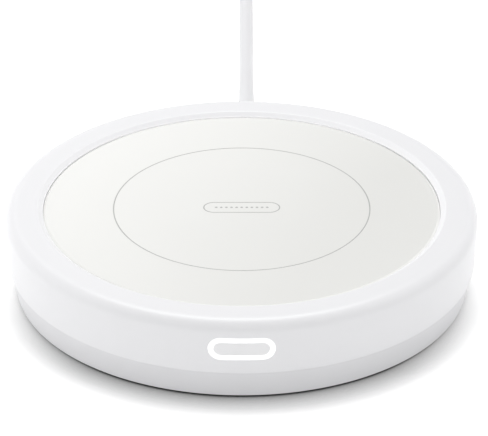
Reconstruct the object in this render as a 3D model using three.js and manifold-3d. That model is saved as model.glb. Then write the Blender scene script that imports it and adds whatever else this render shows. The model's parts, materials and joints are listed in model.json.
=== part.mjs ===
// Round mug warmer: a moulded housing with a recessed glass plate, a film heater
// under the plate, a control board in the base, a front button inside a lit ring,
// and a low-voltage cord with its plug. Millimetres, +Z up, table at z = 0, button
// towards -Y, origin under the middle of the body.
import * as THREE from 'three';
import { mergeVertices, toCreasedNormals } from 'three/addons/utils/BufferGeometryUtils.js';
import Module from 'manifold-3d';

const wasm = await Module();
wasm.setup();

// Driving dimensions
const bodyDiameter = 120;
const bezelWidth = 9.1;
const bandHeight = 7.2;
const footProud = 0.8;
const plateThickness = 3;
const plateRecess = 1;
const buttonWidth = 13.4;
const buttonHeight = 3.1;
const ringBand = 1.55;
const buttonTravel = 0.5;
const cordDiameter = 4;
const coilMeanDiameter = 48;

// Clearances and counts shared by all pieces
const cutOverrun = 1;
const seatGap = 0.3;
const slideGap = 0.15;
const fitGap = 0.1;
const weldTolerance = 1e-4;
const creaseAngle = Math.PI / 6;
const bodyFacets = 64;
const discFacets = 48;
const postFacets = 12;
const screwFacets = 8;
const filletSteps = 4;
const smallFilletSteps = 2;
const cornerSteps = 3;
const quarterTurn = Math.PI / 2;
const fullTurn = Math.PI * 2;
const quarterDegrees = 90;
const fullDegrees = 360;

// Levels from the table up: feet, floor, board, sockets, room for the wires, then
// the heater stack, the plate and the bezel's edge
const baseFloor = 1.8;
const boardStandoff = 3;
const boardThickness = 1.2;
const connectorHeight = 4.6;
const wiringSpace = 2.55;
const retainerThickness = 1;
const padThickness = 2;
const trackThickness = 0.15;
const filmThickness = 0.3;
const spreaderThickness = 1;

const floorTop = footProud + baseFloor;
const boardBottom = floorTop + boardStandoff;
const boardTop = boardBottom + boardThickness;
const retainerBottom = boardTop + connectorHeight + wiringSpace;
const padBottom = retainerBottom + retainerThickness;
const trackBottom = padBottom + padThickness;
const filmBottom = trackBottom + trackThickness;
const spreaderBottom = filmBottom + filmThickness;
const plateBottom = spreaderBottom + spreaderThickness;
const plateTop = plateBottom + plateThickness;
const bodyHeight = plateTop + plateRecess;

// Housing
const bodyRadius = bodyDiameter / 2;
const housingWall = 2;
const topFillet = 3;
const wallDraft = 0.4;
const partingGap = 0.1;
const bezelEdge = 0.3;
const plateGap = 0.4;
const pocketWall = 1.5;
const ledgeWidth = 5.9;
const ledgeThickness = 1.6;
const gasketThickness = 0.5;
const gasketMargin = 0.7;
const plateBevelWidth = 1;
const plateBevelDrop = 0.45;

const splitLevel = footProud + bandHeight;
const pocketRadius = bodyRadius - bezelWidth;
const plateRadius = pocketRadius - plateGap;
const pocketOuterRadius = pocketRadius + pocketWall;
const ledgeRadius = pocketRadius - ledgeWidth;
const ledgeTop = plateBottom - gasketThickness;
const ledgeBottom = ledgeTop - ledgeThickness;
const bezelBottom = bodyHeight - housingWall;
const housingRimRadius = bodyRadius - wallDraft;
const housingInnerRadius = housingRimRadius - housingWall;

// Base
const bandInset = 0.2;
const bandTaper = 1.6;
const bandFillet = 0.5;
const rimClearance = 0.3;
const rimWall = 1.6;
const rimHeight = 2;
const bandTopRadius = housingRimRadius - bandInset;
const bandBottomRadius = bandTopRadius - bandTaper;
const rimOuterRadius = housingInnerRadius - rimClearance;
const rimInnerRadius = rimOuterRadius - rimWall;
const rimTop = splitLevel + rimHeight;

// Screws that pull the base up to the housing, one over each foot
const screwInset = 3.5;
const housingScrewCount = 4;
const housingScrewShank = 2.6;
const housingScrewHead = 4.4;
const housingScrewHeadHeight = 1.6;
const housingScrewLength = 9.4;
const screwSeatHeight = 4.2;
const bossDiameter = 5.8;
const postDiameter = 7.2;
const screwCircleRadius = ledgeRadius + screwInset;
const pilotDiameter = housingScrewShank + 2 * fitGap;
const screwSeatLevel = footProud + screwSeatHeight;
const postTop = splitLevel + seatGap;
const bossBottom = postTop + seatGap;

// Feet
const footDiameter = 13;
const footRecess = 0.9;
const footEdge = 0.6;
const footFacets = 16;

// Ribs that stiffen the housing's channel and the base's wall
const ribThickness = 1.2;
const housingRibHeight = 3;
const baseRibLength = 3;
const baseRibHeight = 3.6;
const ribTurnShares = [0, 1 / 16, 3 / 16, 5 / 16, 7 / 16, 1 / 2, 9 / 16, 11 / 16, 13 / 16, 15 / 16];

// Button mechanism in the front wall
const buttonDrop = 7.4;
const padDepth = 4.4;
const padEdge = 0.5;
const guideFlangeEdge = 1.3;
const guideFlangeThickness = 1.1;
const guideLegMargin = 1.25;
const guideLegWidth = 1.8;
const guideLegHeight = 2.4;
const stakeSpacing = 2.2;
const stakeDiameter = 1.3;
const stakeLength = 1.5;
const buttonFlangeMargin = 1;
const buttonFlangeThickness = 1;
const buttonStopGap = 0.05;
const nubDiameter = 2.2;
const nubLength = 0.6;
const plungerDiameter = 2;
const plungerLength = 1.7;
const plungerProud = 0.9;
const switchWidth = 6;
const switchHeight = 3.6;
const switchDepth = 2.2;
const switchBoardMargin = 3;
const switchBoardThickness = 1;
const switchBoardLift = 1.8;
const switchBoardRise = 2.2;
const ledWidth = 1.6;
const ledHeight = 2;
const ledDepth = 0.7;
const railWidth = 3;
const railDepth = 3.4;
const railGroove = 0.8;
const notchMargin = 0.8;

const buttonLevel = bodyHeight - buttonDrop;
const ringWidth = buttonWidth + 2 * ringBand;
const ringHeight = buttonHeight + 2 * ringBand;
const guideLegOffset = ringWidth / 2 + guideLegMargin;
const stakeOffset = guideLegOffset + stakeSpacing;
const guideFlangeWidth = 2 * (stakeOffset + guideFlangeEdge);
const guideFlangeHeight = ringHeight + 2 * guideFlangeEdge;
const padPlane = bodyRadius - padDepth;
const padWidth = guideFlangeWidth + 2 * padEdge;
const padDrop = guideFlangeHeight / 2 + seatGap;
const switchBoardWidth = 2 * (guideLegOffset + switchBoardMargin);
const switchBoardBottom = floorTop + switchBoardLift;
const switchBoardTop = buttonLevel + switchBoardRise;
const railTop = buttonLevel - switchHeight / 2 - seatGap;
const guideFlangeBack = padPlane - guideFlangeThickness;
const buttonFlangeFront = guideFlangeBack - buttonStopGap;
const buttonFlangeBack = buttonFlangeFront - buttonFlangeThickness;
const nubBack = buttonFlangeBack - nubLength;
const plungerBack = nubBack - plungerLength;
const switchFront = nubBack - plungerProud;
const switchBack = switchFront - switchDepth;
const switchBoardBack = switchBack - switchBoardThickness;
const ledFront = switchBack + ledDepth;
const notchHalfWidth = switchBoardWidth / 2 + notchMargin;

// Heater stack, hung under the plate
const spreaderMargin = 1.5;
const filmMargin = 2.5;
const filmTabWidth = 9;
const filmTabMargin = 1;
const trackWidth = 2;
const trackMargin = 2.5;
const trackPitch = 6;
const trackArcs = 5;
const trackArcSteps = 8;
const trackGap = 3;
const padMargin = 1;
const retainerMargin = 0.5;
const retainerLip = 1.6;
const retainerTabWidth = 8;
const retainerTabCount = 3;
const retainerBossDiameter = 5;
const retainerHoleDiameter = 2.8;
const retainerScrewShank = 2.2;
const retainerScrewHead = 4;
const retainerScrewHeadHeight = 1.3;
const retainerScrewLength = 3.4;
const retainerWindowMargin = 8;
const retainerWindowDiameter = 11;
const retainerWindowCount = 6;
const sensorHoleDiameter = 6;
const sensorDiameter = 3.4;
const sensorHeight = 3.2;

const spreaderRadius = ledgeRadius - spreaderMargin;
const filmRadius = spreaderRadius - filmMargin;
const filmTabReach = ledgeRadius - filmTabMargin;
const trackOuterRadius = filmRadius - trackMargin;
const padRadius = filmRadius - padMargin;
const retainerRadius = padRadius - retainerMargin;
const retainerWindowRadius = retainerRadius - retainerWindowMargin - retainerWindowDiameter / 2;

// Thermal fuse, strapped under the retainer
const fuseDiameter = 3;
const fuseLength = 9;
const fuseX = 14;
const fuseY = 12;
const clipThickness = 0.5;
const clipWidth = 5;
const clipFoot = 3;
const fuseLevel = retainerBottom - fuseDiameter / 2 - fitGap;

// Control board
const boardWidth = 56;
const boardLength = 42;
const boardCentreY = -5;
const boardCorner = 3;
const boardHoleInset = 3.5;
const boardHoleDiameter = 2.6;
const boardBossDiameter = 5;
const boardScrewShank = 2;
const boardScrewHead = 3.8;
const boardScrewHeadHeight = 1.3;
const boardScrewLength = 3.6;
const boardPinHeight = 1;
const boardFront = boardCentreY - boardLength / 2;
const boardBack = boardCentreY + boardLength / 2;

const chipX = -8;
const chipY = -6;
const chipLength = 9.9;
const chipWidth = 3.9;
const chipHeight = 1.5;
const chipLift = 0.2;
const chipLegs = 6;
const chipLegPitch = 1.4;
const chipLegWidth = 0.45;
const chipLegSpan = 6;
const chipLegHeight = 0.6;

const transistorX = 12;
const transistorY = -13;
const transistorWidth = 6.6;
const transistorLength = 6.1;
const transistorHeight = 2.3;
const transistorTab = 1;
const transistorTabHeight = 0.5;
const transistorLegWidth = 0.8;
const transistorLegLength = 2.6;
const transistorLegPitch = 2.3;

const capacitorInset = 10;
const capacitorX = capacitorInset - boardWidth / 2;
const capacitorY = 6;
const capacitorDiameter = 6.3;
const capacitorHeight = 5.4;
const capacitorBase = 6.6;
const capacitorBaseHeight = 1;
const capacitorGroove = 0.35;

const connectorWidth = 6.4;
const connectorLength = 5.2;
const connectorWall = 0.8;
const heaterConnectorInset = 6;
const heaterConnectorY = 2;
const powerConnectorInset = 4;
const heaterConnectorX = boardWidth / 2 - heaterConnectorInset;
const powerConnectorY = boardBack - powerConnectorInset;

// Wires inside
const leadDiameter = 1.4;
const leadSides = 6;
const leadSteps = 10;
const ribbonWidth = 8;
const ribbonThickness = 0.4;
const ribbonRise = 1.2;
const ribbonBend = 4;

// Cord exit, clamp and strain relief
const cordX = 1.3;
const cordExitLevel = 5.4;
const reliefNeckDiameter = 5.2;
const reliefRootDiameter = 7.2;
const reliefTipDiameter = 4.8;
const reliefReach = 38;
const reliefGrooves = 4;
const reliefGroovePitch = 4;
const reliefGrooveWidth = 1.4;
const reliefGrooveDepth = 0.7;
const reliefGrooveStart = 3.4;
const reliefFlangeWidth = 9;
const reliefFlangeHeight = 5;
const reliefFlangeThickness = 1.5;
const reliefFacets = 16;
const clampInset = 10.2;
const clampLength = 6;
const clampRoof = 1.4;
const clampScrewOffset = 6.3;
const clampEnd = 2.7;
const clampBossDiameter = 5;
const clampScrewShank = 2;
const clampScrewHead = 3.8;
const clampScrewHeadHeight = 1.2;
const clampScrewLength = 4;
const clampEar = 1.6;
const clampSeatDrop = 0.8;
const tailReach = 10.5;
const clampY = rimInnerRadius - clampInset;
const clampWidth = 2 * (clampScrewOffset + clampEnd);
const clampSeat = cordExitLevel - clampSeatDrop;
const tailInnerY = clampY - tailReach;

// Free cord
const cordSides = 8;
const coilSides = 6;
const coilStepsPerTurn = 24;
const coilCentreY = 214;
const coilTurns = 6.75;
const coilTurnGap = 0.6;
const coilLayerGap = 0.5;
const cordStubLength = cordDiameter;
const coilPitch = cordDiameter + coilTurnGap;
const coilLayerRise = cordDiameter + coilLayerGap;
const cordRadius = cordDiameter / 2;
const runStep = 2 * cordDiameter;

// Tie round the coil
const tieWidth = 8;
const tieThickness = 0.5;
const tieCorner = 1.6;
const tieTurnShare = 3 / 8;

// Plug
const plugGripLength = 24;
const plugGripWidth = 15.6;
const plugGripHeight = 8;
const plugGripCorner = 2.4;
const plugCollarLength = 7;
const plugCollarRoot = 7;
const plugCollarTip = 5;
const plugShellWidth = 12;
const plugShellHeight = 4.5;
const plugShellLength = 12;
const plugShellWall = 0.35;
const plugShellInset = 2;
const plugWindow = 2.2;
const plugWindowOffset = 2.6;
const plugWindowReach = 5;
const plugTongueHeight = 1.9;
const plugTongueLength = 10.8;
const plugGripRibs = 3;
const plugRibPitch = 3;
const plugRibWidth = 1.2;
const plugRibDepth = 0.45;
const plugFillet = 1;

// Turning three.js geometry into solids and back

function solid(geometry) {
  const bare = geometry.clone();
  bare.deleteAttribute('normal');
  bare.deleteAttribute('uv');
  const welded = mergeVertices(bare, weldTolerance);
  const corners = welded.index.array;
  const kept = [];
  for (let i = 0; i < corners.length; i += 3) {
    const [a, b, c] = [corners[i], corners[i + 1], corners[i + 2]];
    if (a !== b && b !== c && c !== a) kept.push(a, b, c);
  }
  return new wasm.Manifold(new wasm.Mesh({
    numProp: 3,
    vertProperties: new Float32Array(welded.attributes.position.array),
    triVerts: new Uint32Array(kept),
  }));
}

function geometryOf(body) {
  const { vertProperties, triVerts } = body.getMesh();
  const geometry = new THREE.BufferGeometry();
  geometry.setAttribute('position', new THREE.BufferAttribute(vertProperties, 3));
  geometry.setIndex(new THREE.BufferAttribute(triVerts, 1));
  return toCreasedNormals(geometry, creaseAngle);
}

function join(...bodies) {
  return bodies.reduce((whole, body) => whole.add(body));
}

function cut(body, ...tools) {
  return tools.reduce((rest, tool) => rest.subtract(tool), body);
}

// Basic solids, each placed by its real corners or levels

function block(x0, x1, y0, y1, z0, z1) {
  const box = new THREE.BoxGeometry(x1 - x0, y1 - y0, z1 - z0);
  return solid(box.translate((x0 + x1) / 2, (y0 + y1) / 2, (z0 + z1) / 2));
}

function slab(width, length, x, y, z0, z1) {
  return block(x - width / 2, x + width / 2, y - length / 2, y + length / 2, z0, z1);
}

function post(diameter, z0, z1, x = 0, y = 0, facets = postFacets) {
  const drum = new THREE.CylinderGeometry(diameter / 2, diameter / 2, z1 - z0, facets);
  return solid(drum.rotateX(quarterTurn).translate(x, y, (z0 + z1) / 2));
}

function pinAlongY(diameter, y0, y1, x, z, facets = postFacets) {
  const drum = new THREE.CylinderGeometry(diameter / 2, diameter / 2, y1 - y0, facets);
  return solid(drum.translate(x, (y0 + y1) / 2, z));
}

function spun(profile, facets) {
  const points = profile.map(([radius, level]) => new THREE.Vector2(radius, level));
  return solid(new THREE.LatheGeometry(points, facets).rotateX(quarterTurn));
}

function arc(centreR, centreZ, radius, from, to, steps = filletSteps) {
  return Array.from({ length: steps + 1 }, (_, i) => {
    const angle = from + (to - from) * i / steps;
    return [centreR + radius * Math.cos(angle), centreZ + radius * Math.sin(angle)];
  });
}

function pillShape(width, height) {
  const reach = (width - height) / 2;
  const shape = new THREE.Shape();
  shape.absarc(reach, 0, height / 2, -quarterTurn, quarterTurn);
  shape.absarc(-reach, 0, height / 2, quarterTurn, 3 * quarterTurn);
  shape.closePath();
  return shape;
}

function extruded(shape, depth, curveSegments = filletSteps + 1) {
  return new THREE.ExtrudeGeometry(shape, { depth, bevelEnabled: false, curveSegments });
}

// A pill-shaped prism that runs from depth y0 to y1 behind the front wall
function pillAlongY(width, height, y0, y1, z) {
  return solid(extruded(pillShape(width, height), y1 - y0).rotateX(quarterTurn).translate(0, y1, z));
}

function roundedShape(width, length, corner) {
  const [x, y] = [width / 2 - corner, length / 2 - corner];
  const shape = new THREE.Shape();
  shape.absarc(x, -y, corner, -quarterTurn, 0);
  shape.absarc(x, y, corner, 0, quarterTurn);
  shape.absarc(-x, y, corner, quarterTurn, 2 * quarterTurn);
  shape.absarc(-x, -y, corner, 2 * quarterTurn, 3 * quarterTurn);
  shape.closePath();
  return shape;
}

// The same angle pattern as the round parts: turns counted from +X
function onCircle(radius, turns) {
  return [radius * Math.cos(turns * fullTurn), radius * Math.sin(turns * fullTurn)];
}

function turned(body, turns) {
  return body.rotate([0, 0, turns * fullDegrees]);
}

const screwTurns = Array.from({ length: housingScrewCount }, (_, i) => (i + 1 / 2) / housingScrewCount);
const retainerTurns = Array.from({ length: retainerTabCount }, (_, i) => 1 / 4 + i / retainerTabCount);

// Holes of the main board: screws in one pair of opposite corners, pins in the other
const boardHoleX = boardWidth / 2 - boardHoleInset;
const boardHoleY = boardLength / 2 - boardHoleInset;
const screwedCorners = [[boardHoleX, boardCentreY - boardHoleY], [-boardHoleX, boardCentreY + boardHoleY]];
const pinnedCorners = [[-boardHoleX, boardCentreY - boardHoleY], [boardHoleX, boardCentreY + boardHoleY]];
const boardCorners = [...screwedCorners, ...pinnedCorners];
const clampScrewPlaces = [cordX - clampScrewOffset, cordX + clampScrewOffset];

// Outer form

function wallRadius(level) {
  const filletLevel = bodyHeight - topFillet;
  const drop = Math.max(0, filletLevel - level) / (filletLevel - splitLevel);
  return bodyRadius - wallDraft * drop;
}

// Lower edge of the band, from under the base round to its side
function bandEdge(margin = 0) {
  return arc(bandBottomRadius - bandFillet, footProud + bandFillet, bandFillet + margin,
    -quarterTurn, 0, smallFilletSteps);
}

function outerEnvelope(margin = 0) {
  const filletLevel = bodyHeight - topFillet;
  return spun([
    [0, footProud - margin],
    ...bandEdge(margin),
    [bandTopRadius + margin, splitLevel - margin],
    [housingRimRadius + margin, splitLevel],
    [bodyRadius + margin, filletLevel],
    ...arc(bodyRadius - topFillet, filletLevel, topFillet + margin, 0, quarterTurn),
    [0, bodyHeight + margin],
  ], bodyFacets);
}

// Pieces

function topHousing() {
  const filletLevel = bodyHeight - topFillet;
  const rimLevel = splitLevel + partingGap;
  const shell = spun([
    [housingInnerRadius, rimLevel],
    [housingRimRadius, rimLevel],
    ...arc(bodyRadius - topFillet, filletLevel, topFillet, 0, quarterTurn),
    [pocketRadius + bezelEdge, bodyHeight],
    [pocketRadius, bodyHeight - bezelEdge],
    [pocketRadius, ledgeTop],
    [ledgeRadius, ledgeTop],
    [ledgeRadius, ledgeBottom],
    [pocketOuterRadius, ledgeBottom],
    [pocketOuterRadius, bezelBottom],
    [wallRadius(bezelBottom) - housingWall, bezelBottom],
    [housingInnerRadius, rimLevel],
  ], bodyFacets);
  const rib = block(pocketRadius + pocketWall / 2, wallRadius(bezelBottom) - housingWall / 2,
    -ribThickness / 2, ribThickness / 2, bezelBottom - housingRibHeight, bezelBottom + housingWall / 2);
  const ribs = ribTurnShares.map((turns) => turned(rib, turns));
  const bosses = screwTurns.map((turns) => {
    const [x, y] = onCircle(screwCircleRadius, turns);
    return post(bossDiameter, bossBottom, ledgeTop - ledgeThickness / 2, x, y);
  });
  const pilots = screwTurns.map((turns) => {
    const [x, y] = onCircle(screwCircleRadius, turns);
    const depth = screwSeatLevel + housingScrewLength + seatGap;
    return post(pilotDiameter, bossBottom - cutOverrun, depth, x, y);
  });
  const retainerBosses = retainerTurns.map((turns) => {
    const [x, y] = onCircle(screwCircleRadius, turns);
    return post(retainerBossDiameter, padBottom, ledgeTop - ledgeThickness / 2, x, y);
  });
  const retainerPilots = retainerTurns.map((turns) => {
    const [x, y] = onCircle(screwCircleRadius, turns);
    const depth = retainerBottom + retainerScrewLength + fitGap;
    return post(retainerScrewShank + 2 * fitGap, padBottom - cutOverrun, depth, x, y);
  });
  const padBlock = block(-padWidth / 2, padWidth / 2, -bodyRadius, -padPlane,
    buttonLevel - padDrop, bezelBottom + housingWall / 2);
  const padReach = 2 * housingInnerRadius + housingWall;
  const pad = padBlock.intersect(post(padReach, 0, bodyHeight, 0, 0, bodyFacets));
  const stakes = [-stakeOffset, stakeOffset].map((x) =>
    pinAlongY(stakeDiameter, -padPlane - housingWall / 2, -padPlane + stakeLength, x, buttonLevel));
  const windowCut = pillAlongY(ringWidth + 2 * fitGap, ringHeight + 2 * fitGap,
    -bodyRadius - cutOverrun, -padPlane + cutOverrun, buttonLevel);
  const notch = block(-notchHalfWidth, notchHalfWidth, -pocketOuterRadius - seatGap,
    -ledgeRadius + cutOverrun, ledgeBottom - cutOverrun, plateBottom - seatGap);
  const body = join(shell, ...ribs, ...bosses, ...retainerBosses, pad);
  return cut(body, windowCut, notch, ...pilots, ...retainerPilots).add(join(...stakes));
}

function baseCover() {
  const shell = spun([
    [0, footProud],
    ...bandEdge(),
    [bandTopRadius, splitLevel],
    [rimOuterRadius, splitLevel],
    [rimOuterRadius, rimTop],
    [rimInnerRadius, rimTop],
    [rimInnerRadius, floorTop],
    [0, floorTop],
  ], bodyFacets);
  const rib = block(rimInnerRadius - baseRibLength, rimInnerRadius + rimWall / 2,
    -ribThickness / 2, ribThickness / 2, footProud + baseFloor / 2, floorTop + baseRibHeight);
  const ribs = ribTurnShares.map((turns) => turned(rib, turns));
  const floorMiddle = footProud + baseFloor / 2;
  const posts = screwTurns.map((turns) => {
    const [x, y] = onCircle(screwCircleRadius, turns);
    return post(postDiameter, floorMiddle, postTop, x, y);
  });
  const postCuts = screwTurns.flatMap((turns) => {
    const [x, y] = onCircle(screwCircleRadius, turns);
    return [
      post(footDiameter + 2 * fitGap, footProud - cutOverrun, footProud + footRecess, x, y, 2 * postFacets),
      post(housingScrewHead + 2 * fitGap, footProud, screwSeatLevel, x, y),
      post(pilotDiameter, footProud, postTop + cutOverrun, x, y),
    ];
  });
  const boardBosses = boardCorners.map(([x, y]) => post(boardBossDiameter, floorMiddle, boardBottom, x, y));
  const boardPilots = screwedCorners.map(([x, y]) =>
    post(boardScrewShank + 2 * fitGap, floorTop, boardBottom + cutOverrun, x, y));
  const boardPins = pinnedCorners.map(([x, y]) =>
    post(boardHoleDiameter - 2 * fitGap, floorMiddle, boardTop + boardPinHeight, x, y));
  const rails = [-1, 1].map(switchRail);
  const cradle = cordCradle();
  const clampBosses = clampScrewPlaces.map((x) =>
    post(clampBossDiameter, floorMiddle, clampSeat, x, clampY));
  const clampPilots = clampScrewPlaces.map((x) =>
    post(clampScrewShank + 2 * fitGap, floorMiddle, clampSeat + cutOverrun, x, clampY));
  const frontNotch = block(-padWidth / 2 - rimClearance, padWidth / 2 + rimClearance, -bodyRadius,
    -guideFlangeBack + rimClearance, buttonLevel - padDrop - rimClearance, bodyHeight);
  const body = join(shell, ...ribs, ...posts, ...boardBosses, ...rails, cradle, ...clampBosses);
  return cut(body, ...postCuts, ...boardPilots, ...clampPilots, cordSlot(), frontNotch)
    .add(join(...boardPins));
}

// One of the two grooved posts that hold the switch board upright
function switchRail(side) {
  const inner = switchBoardWidth / 2 - railGroove;
  const middle = -(switchBack + switchBoardBack) / 2;
  const [near, far] = [side * inner, side * (inner + railWidth)];
  const rail = block(Math.min(near, far), Math.max(near, far),
    middle - railDepth / 2, middle + railDepth / 2, footProud + baseFloor / 2, railTop);
  const groove = block(-switchBoardWidth / 2 - fitGap, switchBoardWidth / 2 + fitGap,
    -switchBack - fitGap, -switchBoardBack + fitGap, switchBoardBottom, railTop + cutOverrun);
  return rail.subtract(groove);
}

// The rib with a round seat that the cord lies in under its clamp
function cordCradle() {
  const rib = slab(2 * clampScrewOffset - clampBossDiameter / 2, clampLength, cordX, clampY,
    footProud + baseFloor / 2, clampSeat - seatGap);
  const seat = pinAlongY(cordDiameter + 2 * fitGap, clampY - clampLength, clampY + clampLength,
    cordX, cordExitLevel, 2 * cordSides);
  return rib.subtract(seat);
}

// The round-bottomed slot in the back wall that the strain relief drops into
function cordSlot() {
  const width = reliefNeckDiameter + 2 * fitGap;
  const [back, front] = [bodyRadius + cutOverrun, rimInnerRadius - baseRibLength];
  const bore = pinAlongY(width, front, back, cordX, cordExitLevel, reliefFacets);
  const mouth = block(cordX - width / 2, cordX + width / 2, front, back, cordExitLevel, rimTop + cutOverrun);
  return bore.add(mouth);
}

function glassPlate() {
  return spun([
    [0, plateBottom],
    [plateRadius - bezelEdge, plateBottom],
    [plateRadius, plateBottom + bezelEdge],
    [plateRadius, plateTop - plateBevelDrop],
    [plateRadius - plateBevelWidth / 2, plateTop - plateBevelDrop / 4],
    [plateRadius - plateBevelWidth, plateTop],
    [0, plateTop],
  ], bodyFacets);
}

function ringBody(outer, inner, z0, z1, facets) {
  return spun([[inner, z0], [outer, z0], [outer, z1], [inner, z1], [inner, z0]], facets);
}

function plateGasket() {
  const [outer, inner] = [pocketRadius - gasketMargin, ledgeRadius + gasketMargin];
  return ringBody(outer, inner, ledgeTop, plateBottom, discFacets);
}

function heatSpreader() {
  return post(2 * spreaderRadius, spreaderBottom, plateBottom, 0, 0, discFacets);
}

function heaterFilm() {
  const tab = block(0, filmTabReach, -filmTabWidth / 2, filmTabWidth / 2, filmBottom, spreaderBottom);
  return post(2 * filmRadius, filmBottom, spreaderBottom, 0, 0, discFacets).add(tab);
}

// The etched track: half-circle runs from the tab inwards on one side, across the
// middle, and outwards again on the other, as one unbroken strip
function heaterTrack() {
  const side = [];
  for (let run = 0; run < trackArcs; run += 1) {
    const radius = trackOuterRadius - run * trackPitch;
    const open = Math.asin(trackGap / radius);
    const ends = [open, Math.PI - open];
    if (run % 2) ends.reverse();
    for (let step = 0; step <= trackArcSteps; step += 1) {
      const angle = ends[0] + (ends[1] - ends[0]) * step / trackArcSteps;
      side.push(new THREE.Vector2(radius * Math.cos(angle), radius * Math.sin(angle)));
    }
  }
  const start = new THREE.Vector2(filmTabReach - trackWidth / 2, trackGap);
  const half = [start, ...side];
  const mirrored = half.map((point) => new THREE.Vector2(point.x, -point.y)).reverse();
  const centreLine = [...half, ...mirrored];
  const shape = new THREE.Shape(stripOutline(centreLine, trackWidth));
  return solid(extruded(shape, trackThickness).translate(0, 0, trackBottom));
}

// The two edges of a flat strip along a line of points, with mitred corners
function stripOutline(points, width) {
  const edge = (sign) => points.map((point, i) => {
    const before = points[Math.max(i - 1, 0)];
    const after = points[Math.min(i + 1, points.length - 1)];
    const arriving = point.clone().sub(before).normalize();
    const leaving = after.clone().sub(point).normalize();
    if (i === 0) arriving.copy(leaving);
    if (i === points.length - 1) leaving.copy(arriving);
    const along = arriving.clone().add(leaving).normalize();
    const reach = sign * width / 2 / along.dot(leaving);
    return new THREE.Vector2(point.x - along.y * reach, point.y + along.x * reach);
  });
  return [...edge(-1), ...edge(1).reverse()];
}

function insulationPad() {
  return cut(post(2 * padRadius, padBottom, trackBottom, 0, 0, discFacets),
    post(sensorHoleDiameter, padBottom - cutOverrun, trackBottom + cutOverrun));
}

// Pressed plate with a stiffening lip, six lightening holes and three fixing tabs
function heaterRetainer() {
  const dish = spun([
    [0, retainerBottom],
    [retainerRadius - retainerThickness, retainerBottom],
    [retainerRadius - retainerThickness, retainerBottom - retainerLip],
    [retainerRadius, retainerBottom - retainerLip],
    [retainerRadius, padBottom],
    [0, padBottom],
  ], discFacets);
  const tabs = retainerTurns.map((turns) => {
    const arm = block(retainerRadius - retainerThickness, screwCircleRadius,
      -retainerTabWidth / 2, retainerTabWidth / 2, retainerBottom, padBottom);
    const end = post(retainerTabWidth, retainerBottom, padBottom, screwCircleRadius, 0);
    return turned(arm.add(end), turns);
  });
  const holes = retainerTurns.map((turns) => {
    const [x, y] = onCircle(screwCircleRadius, turns);
    return post(retainerHoleDiameter, retainerBottom - cutOverrun, padBottom + cutOverrun, x, y);
  });
  const windows = Array.from({ length: retainerWindowCount }, (_, i) => {
    const [x, y] = onCircle(retainerWindowRadius, i / retainerWindowCount);
    return post(retainerWindowDiameter, retainerBottom - cutOverrun, padBottom + cutOverrun, x, y);
  });
  const sensorHole = post(sensorHoleDiameter, retainerBottom - cutOverrun, padBottom + cutOverrun);
  return cut(join(dish, ...tabs), sensorHole, ...holes, ...windows);
}

// A pan-head screw with a cross recess, head down, thread up from level 0
function screw(shank, length, head, headHeight) {
  const body = spun([
    [0, -headHeight],
    [head * 3 / 8, -headHeight],
    [head / 2, -headHeight / 3],
    [head / 2, 0],
    [shank / 2, 0],
    [shank / 2, length],
    [0, length],
  ], screwFacets);
  const slot = (width, reach) => slab(width, reach, 0, 0, -headHeight - cutOverrun, -headHeight / 2);
  return cut(body, slot(head / 8, head / 2).add(slot(head / 2, head / 8)));
}

function thermistor() {
  return spun([
    [0, trackBottom - sensorHeight],
    [sensorDiameter / 4, trackBottom - sensorHeight],
    [sensorDiameter / 2, trackBottom - sensorHeight + sensorDiameter / 4],
    [sensorDiameter / 2, trackBottom - fitGap - sensorDiameter / 8],
    [sensorDiameter / 2 - sensorDiameter / 8, trackBottom - fitGap],
    [0, trackBottom - fitGap],
  ], postFacets);
}

function thermalFuse() {
  const [r, half] = [fuseDiameter / 2, fuseLength / 2];
  const barrel = spun([
    [0, -half - r], [r / 3, -half - r], [r / 3, -half - r / 2], [r * 3 / 4, -half],
    [r, -half], [r, half], [r * 3 / 4, half], [r / 3, half + r / 2],
    [r / 3, half + r], [0, half + r],
  ], postFacets);
  return barrel.rotate([quarterDegrees, 0, 0]).translate([fuseX, fuseY, fuseLevel]);
}

// The strap over the fuse: an arch with two feet flat on the retainer
function fuseClip() {
  const inner = fuseDiameter / 2 + fitGap;
  const outer = inner + clipThickness;
  const reach = outer + clipFoot;
  const foot = block(fuseX - reach, fuseX + reach, fuseY - clipWidth / 2, fuseY + clipWidth / 2,
    retainerBottom - clipThickness, retainerBottom);
  const arch = pinAlongY(2 * outer, fuseY - clipWidth / 2, fuseY + clipWidth / 2, fuseX, fuseLevel)
    .add(slab(2 * outer, clipWidth, fuseX, fuseY, fuseLevel, retainerBottom));
  const bore = pinAlongY(2 * inner, fuseY - clipWidth, fuseY + clipWidth, fuseX, fuseLevel)
    .add(slab(2 * inner, 2 * clipWidth, fuseX, fuseY, fuseLevel, retainerBottom + cutOverrun));
  return foot.add(arch).subtract(bore);
}

function mainBoard() {
  const outline = roundedShape(boardWidth, boardLength, boardCorner);
  const sheet = solid(extruded(outline, boardThickness, cornerSteps)
    .translate(0, boardCentreY, boardBottom));
  const holes = boardCorners.map(([x, y]) =>
    post(boardHoleDiameter, boardBottom - cutOverrun, boardTop + cutOverrun, x, y));
  return cut(sheet, ...holes);
}

function controllerChip() {
  const bottom = boardTop + chipLift;
  const moulding = slab(chipLength, chipWidth, chipX, chipY, bottom, boardTop + chipHeight);
  const legs = Array.from({ length: chipLegs }, (_, i) => {
    const x = chipX + (i - (chipLegs - 1) / 2) * chipLegPitch;
    return slab(chipLegWidth, chipLegSpan, x, chipY, boardTop, boardTop + chipLegHeight);
  });
  return join(moulding, ...legs);
}

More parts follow.
